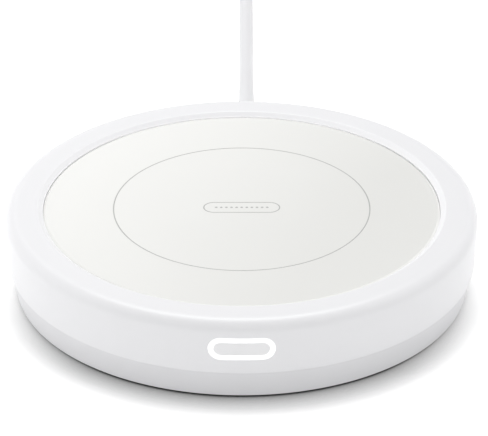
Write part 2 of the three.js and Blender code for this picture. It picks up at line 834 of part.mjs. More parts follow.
function powerTransistor() {
  const back = transistorY + transistorLength / 2;
  const front = transistorY - transistorLength / 2;
  const moulding = slab(transistorWidth, transistorLength, transistorX, transistorY,
    boardTop, boardTop + transistorHeight);
  const tab = block(transistorX - transistorWidth / 2 + transistorTab / 2,
    transistorX + transistorWidth / 2 - transistorTab / 2, transistorY, back + transistorTab,
    boardTop, boardTop + transistorTabHeight);
  const legs = [-transistorLegPitch, transistorLegPitch].map((offset) =>
    block(transistorX + offset - transistorLegWidth / 2, transistorX + offset + transistorLegWidth / 2,
      front - transistorLegLength, transistorY, boardTop, boardTop + transistorTabHeight));
  return join(moulding, tab, ...legs);
}

function filterCapacitor() {
  const [r, groove] = [capacitorDiameter / 2, capacitorGroove];
  const can = spun([
    [0, boardTop], [r, boardTop],
    [r, boardTop + 2 * capacitorBaseHeight - groove],
    [r - groove, boardTop + 2 * capacitorBaseHeight],
    [r, boardTop + 2 * capacitorBaseHeight + groove],
    [r, boardTop + capacitorHeight - groove],
    [r - groove, boardTop + capacitorHeight], [0, boardTop + capacitorHeight],
  ], postFacets).translate([capacitorX, capacitorY, 0]);
  const base = slab(capacitorBase, capacitorBase, capacitorX, capacitorY,
    boardTop, boardTop + capacitorBaseHeight);
  return can.add(base);
}

// An open-topped two-way socket with its two contact posts
function connector(x, y) {
  const top = boardTop + connectorHeight;
  const floor = boardTop + connectorWall;
  const shell = slab(connectorWidth, connectorLength, x, y, boardTop, top);
  const well = slab(connectorWidth - 2 * connectorWall, connectorLength - 2 * connectorWall, x, y,
    floor, top + cutOverrun);
  const pins = [-1, 1].map((side) => {
    const pinX = x + side * connectorWidth / 5;
    return slab(connectorWall, connectorWall, pinX, y, boardTop, boardTop + connectorHeight / 2);
  });
  return shell.subtract(well).add(join(...pins));
}

function switchBoard() {
  return block(-switchBoardWidth / 2, switchBoardWidth / 2, -switchBack, -switchBoardBack,
    switchBoardBottom, switchBoardTop);
}

function switchBody() {
  const body = block(-switchWidth / 2, switchWidth / 2, -switchFront, -switchBack,
    buttonLevel - switchHeight / 2, buttonLevel + switchHeight / 2);
  const depth = plungerBack - buttonTravel - seatGap;
  const bore = pinAlongY(plungerDiameter + 2 * slideGap, -switchFront - cutOverrun, -depth, 0, buttonLevel);
  return body.subtract(bore);
}

function switchPlunger() {
  return pinAlongY(plungerDiameter, -nubBack, -plungerBack, 0, buttonLevel);
}

// Clear ring that fills the window, with a flange behind the wall, two staked
// holes, and two legs that lead the light in from the lamps
function lightGuide() {
  const ring = pillAlongY(ringWidth, ringHeight, -bodyRadius - cutOverrun, -guideFlangeBack, buttonLevel);
  const flange = pillAlongY(guideFlangeWidth, guideFlangeHeight, -padPlane, -guideFlangeBack, buttonLevel);
  const legs = [-guideLegOffset, guideLegOffset].map((x) =>
    block(x - guideLegWidth / 2, x + guideLegWidth / 2, -guideFlangeBack - guideFlangeThickness / 2,
      -ledFront - seatGap, buttonLevel - guideLegHeight / 2, buttonLevel + guideLegHeight / 2));
  const [holeFront, holeBack] = [-padPlane - cutOverrun, -guideFlangeBack + cutOverrun];
  const holes = [-stakeOffset, stakeOffset].map((x) =>
    pinAlongY(stakeDiameter + 2 * fitGap, holeFront, holeBack, x, buttonLevel));
  const bore = pillAlongY(buttonWidth, buttonHeight, -bodyRadius - 2 * cutOverrun,
    -guideFlangeBack + cutOverrun, buttonLevel);
  const body = cut(join(ring, flange, ...legs), bore, ...holes);
  return body.intersect(outerEnvelope());
}

// The key: its face follows the wall, and a flange behind the ring keeps it in
function powerButton() {
  const [width, height] = [buttonWidth - 2 * slideGap, buttonHeight - 2 * slideGap];
  const key = pillAlongY(width, height, -bodyRadius - cutOverrun, -buttonFlangeBack, buttonLevel);
  const flange = pillAlongY(buttonWidth + 2 * buttonFlangeMargin, buttonHeight + 2 * buttonFlangeMargin,
    -buttonFlangeFront, -buttonFlangeBack, buttonLevel);
  const nubFront = buttonFlangeBack + buttonFlangeThickness / 2;
  const nub = pinAlongY(nubDiameter, -nubFront, -nubBack, 0, buttonLevel);
  return join(key, flange, nub).intersect(outerEnvelope());
}

function indicatorLed(x) {
  return block(x - ledWidth / 2, x + ledWidth / 2, -ledFront, -switchBack,
    buttonLevel - ledHeight / 2, buttonLevel + ledHeight / 2);
}

// Round section swept along a smooth line through points
function tube(points, diameter, steps, sides) {
  const curve = new THREE.CatmullRomCurve3(points.map((p) => new THREE.Vector3(...p)), false, 'centripetal');
  return tubeAlong(curve, diameter, steps, sides);
}

function tubeAlong(curve, diameter, steps, sides) {
  const section = new THREE.Shape(Array.from({ length: sides }, (_, i) => {
    const angle = (i + 1 / 2) * fullTurn / sides;
    return new THREE.Vector2(diameter / 2 * Math.cos(angle), diameter / 2 * Math.sin(angle));
  }));
  return solid(new THREE.ExtrudeGeometry(section, { steps, bevelEnabled: false, extrudePath: curve }));
}

function wire(route) {
  return tube(route, leadDiameter, leadSteps, leadSides);
}

// Where each wire runs: one heater lead goes straight to the socket and the other
// through the thermal fuse
function leadRoutes() {
  const solder = trackBottom - seatGap;
  const tabX = filmTabReach - trackWidth / 2;
  const bend = 2 * leadDiameter;
  const under = retainerBottom - 2 * bend;
  const socketTop = boardTop + connectorHeight;
  const over = socketTop + leadDiameter / 2 + 2 * seatGap;
  const pinX = connectorWidth / 5;
  const pinTop = boardTop + connectorHeight / 2 + leadDiameter;
  const fuseEnd = fuseLength / 2 + fuseDiameter / 2 + seatGap;
  const beside = heaterConnectorX + connectorWidth / 2 + leadDiameter;
  const run = tabX - bend / 2 - beside;
  return {
    heater_lead: [
      [tabX, -trackGap, solder], [tabX, -trackGap, solder - bend], [tabX - bend / 2, -trackGap, under],
      [beside + run / 2, -trackGap / 2, under], [beside + run / 4, heaterConnectorY, over],
      [heaterConnectorX + pinX + leadDiameter / 2, heaterConnectorY, over],
      [heaterConnectorX + pinX, heaterConnectorY, pinTop],
    ],
    fuse_lead_out: [
      [tabX, trackGap, solder], [tabX, trackGap, solder - bend],
      [tabX - bend / 2, trackGap + bend / 2, under], [tabX - 2 * bend, fuseY + fuseEnd, under],
      [fuseX + 2 * bend, fuseY + fuseEnd + 2 * bend, fuseLevel - bend / 2],
      [fuseX, fuseY + fuseEnd + bend, fuseLevel], [fuseX, fuseY + fuseEnd, fuseLevel],
    ],
    fuse_lead_in: [
      [fuseX, fuseY - fuseEnd, fuseLevel], [fuseX + leadDiameter / 2, fuseY - fuseEnd - bend / 2, fuseLevel],
      [heaterConnectorX - connectorWidth / 2 - bend, heaterConnectorY, over],
      [heaterConnectorX - pinX - leadDiameter / 2, heaterConnectorY, over],
      [heaterConnectorX - pinX, heaterConnectorY, pinTop],
    ],
    power_lead_1: powerRoute(-1, over, pinX, pinTop),
    power_lead_2: powerRoute(1, over, pinX, pinTop),
    sensor_lead: [
      [0, 0, trackBottom - sensorHeight - seatGap], [0, 0, retainerBottom - bend],
      [bend / 2, -bend, (retainerBottom + boardTop) / 2], [bend, -2 * bend, boardTop + bend],
      [bend, -2 * bend, boardTop + seatGap],
    ],
  };
}

function powerRoute(side, over, pinX, pinTop) {
  const near = cordX + side * (leadDiameter / 2 + fitGap);
  const far = cordX + side * pinX;
  const [start, end] = [tailInnerY - seatGap, powerConnectorY + connectorLength / 2];
  const run = start - end;
  return [
    [near, start, cordExitLevel], [near, start - run / 5, cordExitLevel],
    [far, end + run / 4, over - leadDiameter], [far, end, over],
    [far, powerConnectorY + leadDiameter / 2, over], [far, powerConnectorY, pinTop],
  ];
}

// Flat cable between the two boards, a strip bent in side view
function switchRibbon() {
  const front = -switchBoardBack + seatGap;
  const level = boardTop + ribbonRise;
  const run = boardFront - front;
  const line = [
    [front, level], [front + run / 5, level],
    [front + run * 2 / 5, level + ribbonBend / 3], [front + run * 4 / 5, level + ribbonBend / 3],
    [boardFront + ribbonBend / 2, boardTop + 2 * ribbonThickness],
    [boardFront + ribbonBend, boardTop + 2 * ribbonThickness],
  ].map(([y, z]) => new THREE.Vector2(y, z));
  const strip = extruded(new THREE.Shape(stripOutline(line, ribbonThickness)), ribbonWidth);
  return solid(strip.rotateX(quarterTurn).rotateZ(quarterTurn).translate(-ribbonWidth / 2, 0, 0));
}

// Cord exit

const reliefFlangeOuter = Math.sqrt(rimInnerRadius ** 2 - (reliefFlangeWidth / 2) ** 2) - seatGap;
const reliefFlangeInner = reliefFlangeOuter - reliefFlangeThickness;
const reliefEnd = bodyRadius + reliefReach;

function cordTail() {
  const end = reliefFlangeInner - seatGap;
  return pinAlongY(cordDiameter, tailInnerY, end, cordX, cordExitLevel, 2 * cordSides);
}

function cordClamp() {
  const top = clampSeat + clampEar;
  const bar = slab(clampWidth, clampLength, cordX, clampY, clampSeat, top);
  const hump = pinAlongY(cordDiameter + 2 * (fitGap + clampRoof), clampY - clampLength / 2,
    clampY + clampLength / 2, cordX, cordExitLevel, reliefFacets);
  const below = slab(clampWidth, 2 * clampLength, cordX, clampY, footProud, clampSeat);
  const bore = pinAlongY(cordDiameter + 2 * fitGap, clampY - clampLength, clampY + clampLength,
    cordX, cordExitLevel, 2 * cordSides);
  const throat = slab(cordDiameter + 2 * fitGap, 2 * clampLength, cordX, clampY, footProud, cordExitLevel);
  const holes = clampScrewPlaces.map((x) =>
    post(clampScrewShank + 2 * fitGap, footProud, bodyHeight, x, clampY));
  return cut(bar.add(hump), below, bore, throat, ...holes);
}

// Tapered sleeve with flexing grooves outside the wall, a neck through it and a
// flat flange behind it
function strainRelief() {
  const [root, tip] = [reliefRootDiameter / 2, reliefTipDiameter / 2];
  const start = bodyRadius - bandTaper - bandInset - wallDraft;
  const radiusAt = (y) => root + (tip - root) * (y - start) / (reliefEnd - start);
  const rounding = reliefGrooveDepth / 2;
  const sleeve = spun([
    [0, start], [radiusAt(start), start], [radiusAt(reliefEnd - rounding), reliefEnd - rounding],
    [tip - rounding, reliefEnd], [0, reliefEnd],
  ], reliefFacets);
  const grooves = Array.from({ length: reliefGrooves }, (_, i) => {
    const y = bodyRadius + reliefGrooveStart + i * reliefGroovePitch;
    const floor = radiusAt(y) - reliefGrooveDepth;
    return ringBody(root + cutOverrun, floor, y, y + reliefGrooveWidth, reliefFacets);
  });
  const laid = cut(sleeve, ...grooves).rotate([-quarterDegrees, 0, 0]).translate([cordX, 0, cordExitLevel]);
  const outside = laid.subtract(outerEnvelope(seatGap));
  const neck = pinAlongY(reliefNeckDiameter, reliefFlangeInner, bodyRadius + reliefGrooveStart / 2,
    cordX, cordExitLevel, reliefFacets);
  const flange = block(cordX - reliefFlangeWidth / 2, cordX + reliefFlangeWidth / 2, reliefFlangeInner,
    reliefFlangeOuter, cordExitLevel - reliefFlangeHeight / 2, cordExitLevel + reliefFlangeHeight / 2);
  return join(outside, neck, flange);
}

// Free cord: the run along the table, the coil and the run to the plug

const leadRoute = [
  [1.3, 98.3, 5.4], [1.3, 103, 5.4], [1.3, 108, 5.05], [1.3, 113, 4.3], [1.3, 118, 3.45],
  [1.3, 123, 2.75], [1.3, 128, 2.3], [1.3, 134, 2.1], [1.3, 141, 2.1], [1.3, 149, 2.1],
  [1.3, 157, 2.1], [1.3, 165, 2.1], [1.3, 174, 2.1], [1.3, 183, 2.1], [1.3, 192, 2.3],
  [1.3, 200, 2.55], [1.3, 205, 2.65], [1.3, 209.7, 2.65],
];
const endRoute = [
  [-26.16, 182.24, 7.15], [-22, 182.24, 7.15], [-17, 182.24, 7.1], [-12, 182.24, 7], [-7, 182.24, 6.85],
  [-2.5, 182.24, 6.75], [1.3, 182.24, 6.65], [3.6, 182.24, 6.4], [5.6, 182.24, 5.85],
  [7.4, 182.24, 5.15], [9, 182.24, 4.55], [10.5, 182.24, 4.2], [12, 182.24, 4.05], [13.5, 182.24, 4],
  [15, 182.24, 4],
];

const coilRadiusSpan = coilPitch * coilTurns / 2;
const coilInnerRadius = coilMeanDiameter / 2 - coilRadiusSpan / 2;
const coilOuterRadius = coilInnerRadius + coilRadiusSpan;
const coilCentreX = cordX - coilOuterRadius;
const coilLevel = cordRadius + tieThickness + slideGap;
const reversalSoftness = 0.12;
const climbTurns = 1 / 2;

// Centre line of the coil: inwards in the lower layer, a climb over the half turn
// where it reverses, and outwards in the upper layer
function coilPoints() {
  const middle = coilTurns / 2;
  const points = [[cordX, coilCentreY - cordStubLength, coilLevel]];
  const steps = Math.round(coilTurns * coilStepsPerTurn);
  const soft = Math.hypot(middle, reversalSoftness) - reversalSoftness;
  for (let i = 0; i <= steps; i += 1) {
    const turn = coilTurns * i / steps;
    const offset = Math.hypot(turn - middle, reversalSoftness) - reversalSoftness;
    const radius = coilInnerRadius + coilRadiusSpan * offset / soft;
    const climb = Math.min(1, Math.max(0, (turn - middle) / climbTurns + 1 / 2));
    const level = coilLevel + coilLayerRise * climb * climb * (3 - 2 * climb);
    const [x, y] = onCircle(radius, turn);
    points.push([coilCentreX + x, coilCentreY + y, level]);
  }
  const [x, y, z] = points[points.length - 1];
  points.push([x + cordStubLength, y, z]);
  return points;
}

// Least distance between stretches of the coil that are not neighbours along it
function coilSelfGap(points) {
  const skip = coilStepsPerTurn / 2;
  let least = Infinity;
  points.forEach((p, i) => {
    for (let j = i + skip; j < points.length; j += 1) {
      const q = points[j];
      least = Math.min(least, Math.hypot(p[0] - q[0], p[1] - q[1], p[2] - q[2]));
    }
  });
  return least - cordDiameter;
}

function lengthOf(points) {
  return points.slice(1).reduce((sum, p, i) =>
    sum + Math.hypot(p[0] - points[i][0], p[1] - points[i][1], p[2] - points[i][2]), 0);
}

function cordRun(route) {
  return tube(route, cordDiameter, Math.ceil(lengthOf(route) / runStep), cordSides);
}

function cordCoil() {
  const points = coilPoints();
  return tube(points, cordDiameter, points.length - 1, coilSides);
}

// Strap round the coil's section, as a closed band
function cordTie() {
  const nearest = Math.sqrt((coilInnerRadius - cordRadius) ** 2 - (tieWidth / 2) ** 2);
  const inside = [nearest - seatGap, coilOuterRadius + cordRadius + seatGap];
  const levels = [tieThickness, coilLevel + coilLayerRise + cordRadius + slideGap];
  const [width, height] = [inside[1] - inside[0], levels[1] - levels[0]];
  const band = roundedShape(width + 2 * tieThickness, height + 2 * tieThickness, tieCorner + tieThickness);
  band.holes.push(roundedShape(width, height, tieCorner));
  const strap = extruded(band, tieWidth, cornerSteps).translate(0, 0, -tieWidth / 2).rotateX(quarterTurn)
    .translate((inside[0] + inside[1]) / 2, 0, (levels[0] + levels[1]) / 2)
    .rotateZ(tieTurnShare * fullTurn).translate(coilCentreX, coilCentreY, 0);
  return solid(strap);
}

// Plug, lying flat with its nose towards +X, made from x = 0 at the back of its grip

function plugGrip() {
  const core = roundedShape(plugGripWidth - 2 * plugFillet, plugGripHeight - 2 * plugFillet,
    plugGripCorner - plugFillet);
  const grip = solid(new THREE.ExtrudeGeometry(core, {
    depth: plugGripLength - 2 * plugFillet,
    bevelEnabled: true,
    bevelSegments: 1,
    curveSegments: smallFilletSteps,
    bevelSize: plugFillet,
    bevelThickness: plugFillet,
  }).translate(0, 0, plugFillet).rotateX(quarterTurn).rotateZ(quarterTurn));
  const collar = spun([
    [0, -plugCollarLength], [plugCollarTip / 2, -plugCollarLength],
    [plugCollarRoot / 2, plugFillet], [0, plugFillet],
  ], postFacets).rotate([0, quarterDegrees, 0]);
  const pocket = plugBox(plugGripLength - plugShellInset - fitGap, plugGripLength + cutOverrun,
    plugShellWidth + 2 * fitGap, plugShellHeight + 2 * fitGap);
  const grooves = Array.from({ length: plugGripRibs }, (_, i) => {
    const x = plugGripLength / 2 + (i - (plugGripRibs - 1) / 2) * plugRibPitch;
    const slot = plugBox(x - plugRibWidth / 2, x + plugRibWidth / 2, plugGripWidth, plugGripHeight);
    return slot.subtract(plugBox(x - plugRibWidth, x + plugRibWidth, 2 * plugGripWidth,
      plugGripHeight - 2 * plugRibDepth));
  });
  return cut(grip.add(collar), pocket, ...grooves);
}

function plugBox(x0, x1, width, height, y = 0, z = 0) {
  return block(x0, x1, y - width / 2, y + width / 2, z - height / 2, z + height / 2);
}

function plugShell() {
  const back = plugGripLength - plugShellInset;
  const front = plugGripLength + plugShellLength;
  const sleeve = plugBox(back, front, plugShellWidth, plugShellHeight);
  const inside = plugBox(back + plugShellWall, front + cutOverrun,
    plugShellWidth - 2 * plugShellWall, plugShellHeight - 2 * plugShellWall);
  const windowEnd = front - plugWindowReach;
  const windows = [-plugWindowOffset, plugWindowOffset].map((y) =>
    plugBox(windowEnd - plugWindow, windowEnd, plugWindow, 2 * plugShellHeight, y));
  return cut(sleeve, inside, ...windows);
}

function plugTongue() {
  const back = plugGripLength - plugShellInset + plugShellWall;
  const top = plugShellHeight / 2 - plugShellWall - fitGap;
  return plugBox(back, back + plugTongueLength, plugShellWidth - 2 * plugShellWall - 2 * fitGap,
    plugTongueHeight, 0, top - plugTongueHeight / 2);
}

// Assembly

function finish(color, roughness, metalness = 0) {
  return () => new THREE.MeshStandardMaterial({ color, roughness, metalness });
}

const whiteShell = finish(0xf1f1f2, 0.45);
const bandPlastic = finish(0xd9d9db, 0.5);
const warmGlass = finish(0xf6f6f3, 0.12);
const litDiffuser = finish(0xffffff, 0.3);
const clearSilicone = finish(0xd8d8d4, 0.6);
const spreaderMetal = finish(0xb9bcc0, 0.35, 0.9);
const amberFilm = finish(0xb5701c, 0.4);
const etchedFoil = finish(0x8f8f94, 0.35, 0.9);
const whiteFelt = finish(0xe7e4da, 0.95);
const pressedSteel = finish(0xa9acae, 0.4, 0.9);
const screwSteel = finish(0x8c8f92, 0.35, 0.9);
const greenBoard = finish(0x1f5c3a, 0.5);
const blackResin = finish(0x1c1c1e, 0.5);
const creamPlastic = finish(0xe9e2cf, 0.55);
const paleRubber = finish(0xc9c9cb, 0.8);
const redWire = finish(0xb3261e, 0.5);
const blackWire = finish(0x1a1a1a, 0.5);
const whiteCord = finish(0xededee, 0.5);
const platedSteel = finish(0xc8cacc, 0.25, 1);

const warmer = new THREE.Group();

function add(parent, name, body, material, place = [0, 0, 0], turn = [0, 0, 0]) {
  const mesh = new THREE.Mesh(geometryOf(body), material());
  mesh.name = name;
  mesh.position.set(...place);
  mesh.rotation.set(...turn);
  parent.add(mesh);
}

function subGroup() {
  const group = new THREE.Group();
  warmer.add(group);
  return group;
}

add(warmer, 'top_housing', topHousing(), whiteShell);
add(warmer, 'base_cover', baseCover(), bandPlastic);
add(warmer, 'glass_plate', glassPlate(), warmGlass);
add(warmer, 'plate_gasket', plateGasket(), clearSilicone);

const heater = subGroup();
add(heater, 'heat_spreader', heatSpreader(), spreaderMetal);
add(heater, 'heater_film', heaterFilm(), amberFilm);
add(heater, 'heater_track', heaterTrack(), etchedFoil);
add(heater, 'insulation_pad', insulationPad(), whiteFelt);
add(heater, 'heater_retainer', heaterRetainer(), pressedSteel);
add(heater, 'thermistor', thermistor(), blackResin);
add(heater, 'thermal_fuse', thermalFuse(), platedSteel);
add(heater, 'fuse_clip', fuseClip(), pressedSteel);
const retainerScrew = screw(retainerScrewShank, retainerScrewLength, retainerScrewHead,
  retainerScrewHeadHeight);
retainerTurns.forEach((turns, i) => {
  const [x, y] = onCircle(screwCircleRadius, turns);
  add(heater, `retainer_screw_${i + 1}`, retainerScrew, screwSteel, [x, y, retainerBottom]);
});

const control = subGroup();
add(control, 'main_board', mainBoard(), greenBoard);
add(control, 'controller_chip', controllerChip(), blackResin);
add(control, 'power_transistor', powerTransistor(), blackResin);
add(control, 'filter_capacitor', filterCapacitor(), platedSteel);
add(control, 'heater_connector', connector(heaterConnectorX, heaterConnectorY), creamPlastic);
add(control, 'power_connector', connector(cordX, powerConnectorY), creamPlastic);
const boardScrew = screw(boardScrewShank, boardScrewLength, boardScrewHead, boardScrewHeadHeight);
screwedCorners.forEach(([x, y], i) => {
  add(control, `board_screw_${i + 1}`, boardScrew, screwSteel, [x, y, boardTop], [Math.PI, 0, 0]);
});

const front = subGroup();
add(front, 'switch_board', switchBoard(), greenBoard);
add(front, 'switch_body', switchBody(), blackResin);
add(front, 'switch_plunger', switchPlunger(), creamPlastic);
add(front, 'light_guide', lightGuide(), litDiffuser);
add(front, 'power_button', powerButton(), whiteShell);
add(front, 'indicator_led_1', indicatorLed(-guideLegOffset), litDiffuser);
add(front, 'indicator_led_2', indicatorLed(guideLegOffset), litDiffuser);
add(front, 'switch_ribbon', switchRibbon(), whiteCord);

const wiring = subGroup();
const wireColours = {
  heater_lead: whiteCord, fuse_lead_out: whiteCord, fuse_lead_in: whiteCord,
  power_lead_1: redWire, power_lead_2: blackWire, sensor_lead: blackWire,
};
Object.entries(leadRoutes()).forEach(([name, route]) => {
  add(wiring, name, wire(route), wireColours[name]);
});

const cordEntry = subGroup();
add(cordEntry, 'cord_tail', cordTail(), whiteCord);
add(cordEntry, 'cord_clamp', cordClamp(), creamPlastic);
const clampScrew = screw(clampScrewShank, clampScrewLength, clampScrewHead, clampScrewHeadHeight);
clampScrewPlaces.forEach((x, i) => {
  add(cordEntry, `clamp_screw_${i + 1}`, clampScrew, screwSteel,
    [x, clampY, clampSeat + clampEar], [Math.PI, 0, 0]);
});
add(cordEntry, 'strain_relief', strainRelief(), whiteCord);

const housingScrew = screw(housingScrewShank, housingScrewLength, housingScrewHead, housingScrewHeadHeight);
const foot = spun([
  [0, 0], [footDiameter / 2 - footEdge, 0], [footDiameter / 2 - footEdge / 4, footEdge / 4],
  [footDiameter / 2, footEdge], [footDiameter / 2, footProud + footRecess], [0, footProud + footRecess],
], footFacets);
screwTurns.forEach((turns, i) => {
  const [x, y] = onCircle(screwCircleRadius, turns);
  add(warmer, `housing_screw_${i + 1}`, housingScrew, screwSteel, [x, y, screwSeatLevel]);
  add(warmer, `foot_${i + 1}`, foot, paleRubber, [x, y, 0]);
});

const cord = subGroup();
add(cord, 'cord_lead', cordRun(leadRoute), whiteCord);
add(cord, 'cord_coil', cordCoil(), whiteCord);
add(cord, 'cord_end', cordRun(endRoute), whiteCord);
add(cord, 'cord_tie', cordTie(), paleRubber);

const plug = new THREE.Group();
const [endX, endY, endZ] = endRoute[endRoute.length - 1];
plug.position.set(endX + seatGap + plugCollarLength, endY, endZ);
cord.add(plug);
add(plug, 'plug_grip', plugGrip(), whiteCord);
add(plug, 'plug_shell', plugShell(), platedSteel);
add(plug, 'plug_tongue', plugTongue(), blackResin);

const freeLength = lengthOf(leadRoute) + lengthOf(coilPoints()) + lengthOf(endRoute);
console.log(`free cord ${freeLength.toFixed(1)} mm, least gap of the coil to itself ${
  coilSelfGap(coilPoints()).toFixed(2)} mm`);

export default warmer;
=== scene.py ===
"""Looks for the mug warmer: a white housing with a recessed glass plate, a lit ring
round its key, a pale band on four feet, and a cord put away in a tied coil.
Lengths are in millimetres and become metres where a mesh is made."""

import json
import math
from functools import partial

import bmesh
import bpy
from mathutils import Matrix, Vector


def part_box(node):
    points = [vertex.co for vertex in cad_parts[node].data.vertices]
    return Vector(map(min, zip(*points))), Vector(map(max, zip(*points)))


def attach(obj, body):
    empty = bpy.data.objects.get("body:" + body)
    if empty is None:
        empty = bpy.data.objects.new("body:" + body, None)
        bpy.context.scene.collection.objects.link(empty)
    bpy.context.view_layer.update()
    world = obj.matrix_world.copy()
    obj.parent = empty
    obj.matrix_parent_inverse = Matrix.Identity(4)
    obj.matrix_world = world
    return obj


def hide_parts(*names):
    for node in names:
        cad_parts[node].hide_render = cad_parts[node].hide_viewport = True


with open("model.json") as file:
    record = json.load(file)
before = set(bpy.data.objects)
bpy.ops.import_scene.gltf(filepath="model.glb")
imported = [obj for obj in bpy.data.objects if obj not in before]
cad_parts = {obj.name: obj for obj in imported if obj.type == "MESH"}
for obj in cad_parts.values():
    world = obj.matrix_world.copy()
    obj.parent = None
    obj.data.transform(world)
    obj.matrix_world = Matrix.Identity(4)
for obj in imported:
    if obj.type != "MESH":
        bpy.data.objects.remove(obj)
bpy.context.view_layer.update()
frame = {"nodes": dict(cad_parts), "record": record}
scene = bpy.context.scene

MM = 0.001
FULL_TURN = 2 * math.pi
SMOOTH_ANGLE = math.radians(35)
ARC_ANGLE = math.radians(12)
HOLD_PART = 12
CORNER_STEPS = 6
MERGE_DISTANCE = 0.0005
TINY = 1e-6
BLACK, WHITE = (0, 0, 0), (1, 1, 1)


# Sizes read from the frame

def span(node):
    """A CAD node's lowest and highest corner, in millimetres."""
    low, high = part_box(node)
    return Vector(low) / MM, Vector(high) / MM


housing_low, housing_high = span("top_housing")
base_low, base_high = span("base_cover")
plate_low, plate_high = span("glass_plate")
key_low, key_high = span("power_button")
foot_low, foot_high = span("foot_1")
relief_low, relief_high = span("strain_relief")
shell_low, shell_high = span("plug_shell")
tongue_low, tongue_high = span("plug_tongue")

body_radius = housing_high.x
body_height = housing_high.z
plate_radius = plate_high.x
plate_top = plate_high.z
plate_bottom = plate_low.z
band_top_radius = base_high.x
foot_proud = base_low.z
rim_top = base_high.z
parting_level = housing_low.z
button_level = (key_low.z + key_high.z) / 2
relief_end = relief_high.y

# Housing
HOUSING_WALL = 2
TOP_FILLET = 3
WALL_DRAFT = 0.4
PARTING_EDGE = 0.1
BEZEL_EDGE = 0.5
BEZEL_SLOPE = 1.05
LIP_GAP = 0.04
LIP_DROP = 0.9
LIP_WIDTH = 0.2
LIP_DEPTH = 0.5
LIP_EDGE = 0.06
PLATE_GAP = 0.4
POCKET_WALL = 1.5
LEDGE_WIDTH = 5.9
LEDGE_THICKNESS = 1.6
GASKET = 0.5
MOULD_EDGE = 0.25
INNER_FILLET = 0.5
LATHE_SEGMENTS = 360

pocket_radius = plate_radius + PLATE_GAP
lip_radius = plate_radius + LIP_GAP
pocket_outer = pocket_radius + POCKET_WALL
ledge_radius = pocket_radius - LEDGE_WIDTH
ledge_top = plate_bottom - GASKET
ledge_bottom = ledge_top - LEDGE_THICKNESS
bezel_bottom = body_height - HOUSING_WALL
rim_radius = body_radius - WALL_DRAFT
inner_radius = rim_radius - HOUSING_WALL
fillet_level = body_height - TOP_FILLET

# Base
PARTING_GAP = 0.1
BAND_TAPER = 1.6
BAND_FILLET = 0.15
BAND_EDGE = 0.06
RIM_CLEARANCE = 0.3
RIM_WALL = 1.6
BASE_FLOOR = 1.8
SLOT_WIDTH = 5.4
SLOT_STEPS = 16
SLOT_REACH = 3
NOTCH_MARGIN = 6
NOTCH_RISE = 0.5
CUT_PAST = 1

# Feet
FOOT_COUNT = 4
FOOT_SEGMENTS = 64
FOOT_GAP = 0.1
FOOT_EDGE = 0.6
FOOT_TOP_EDGE = 0.15
FOOT_HOLLOW = 0.25
FOOT_HOLLOW_INSET = 2.5
FOOT_RIM_INSET = 2.1
FOOT_RIM_EDGE = 0.1

band_bottom_radius = band_top_radius - BAND_TAPER
rim_outer = inner_radius - RIM_CLEARANCE
rim_inner = rim_outer - RIM_WALL
floor_top = foot_proud + BASE_FLOOR
foot_radius = (foot_high.x - foot_low.x) / 2
foot_circle = math.hypot((foot_low.x + foot_high.x) / 2, (foot_low.y + foot_high.y) / 2)

# Window, lit ring and key in the front wall
KEY_FLANGE_MARGIN = 1
KEY_FLANGE = 1
KEY_EDGE = 0.06
KEY_PLAY = 0.04
KEY_FLANGE_GAP = 0.05
KEY_FACE_SHARES = (0.25, 0.45, 0.65, 0.85, 1)
RING_BAND = 1.3
KEY_TALLER = 0.45
KEY_WIDER = 0.4
RING_EDGE = 0.06
WINDOW_GAP = 0.02
WINDOW_EDGE = 0.05
WINDOW_MARGIN = 0.15
FLANGE_EDGE = 1.3
FLANGE_THICKNESS = 1.1
PAD_DEPTH = 4.4
PAD_MARGIN = 1.2
PATCH_COLUMNS = 28
PATCH_ROWS = 12
PATCH_BOTTOM = 9
PATCH_RINGS = 5
PILL_END_STEPS = 24
PILL_SIDE_STEPS = 16
EDGE_STEPS = 4

opening_width = key_high.x - key_low.x - 2 * KEY_FLANGE_MARGIN + KEY_WIDER
opening_height = key_high.z - key_low.z - 2 * KEY_FLANGE_MARGIN + KEY_TALLER
key_width = opening_width - 2 * KEY_PLAY
key_height = opening_height - 2 * KEY_PLAY
ring_width = opening_width + 2 * RING_BAND
ring_height = opening_height + 2 * RING_BAND
window_width = ring_width + 2 * WINDOW_GAP
window_height = ring_height + 2 * WINDOW_GAP
pad_plane = body_radius - PAD_DEPTH
flange_back = pad_plane - FLANGE_THICKNESS

# Glass plate and its print
PLATE_BEVEL_WIDTH = 0.6
PLATE_BEVEL_DROP = 0.4
PLATE_EDGE = 0.1
PLATE_LOWER_EDGE = 0.3
PRINT_RISE = 0.015
PRINT_RADIUS = 32.6
PRINT_LINE = 0.3
OUTLINE_WIDTH = 19.3
OUTLINE_HEIGHT = 5.3
OUTLINE_LINE = 0.3
DOT_COUNT = 11
DOT_PITCH = 1.3
DOT_RADIUS = 0.35
DOT_SIDES = 24

# Cord
CORD_DIAMETER = 4
CORD_TUCK = 2
CORD_SIDES = 24
CORD_X = 1.3
EXIT_LEVEL = 5.4
ROUTE_STEPS = 4
COIL_TURNS = 6.75
COIL_STEPS = 72
COIL_MEAN_DIAMETER = 48
COIL_TURN_GAP = 0.6
COIL_LAYER_GAP = 0.5
COIL_CENTRE_Y = 214
TIE_THICKNESS = 0.5
TIE_WIDTH = 8
TIE_CORNER = 1.6
TIE_EDGE = 0.15
TIE_TURN_SHARE = 3 / 8
SLIDE_GAP = 0.15
SEAT_GAP = 0.3
REVERSAL_SOFTNESS = 0.12
CLIMB_TURNS = 1 / 2

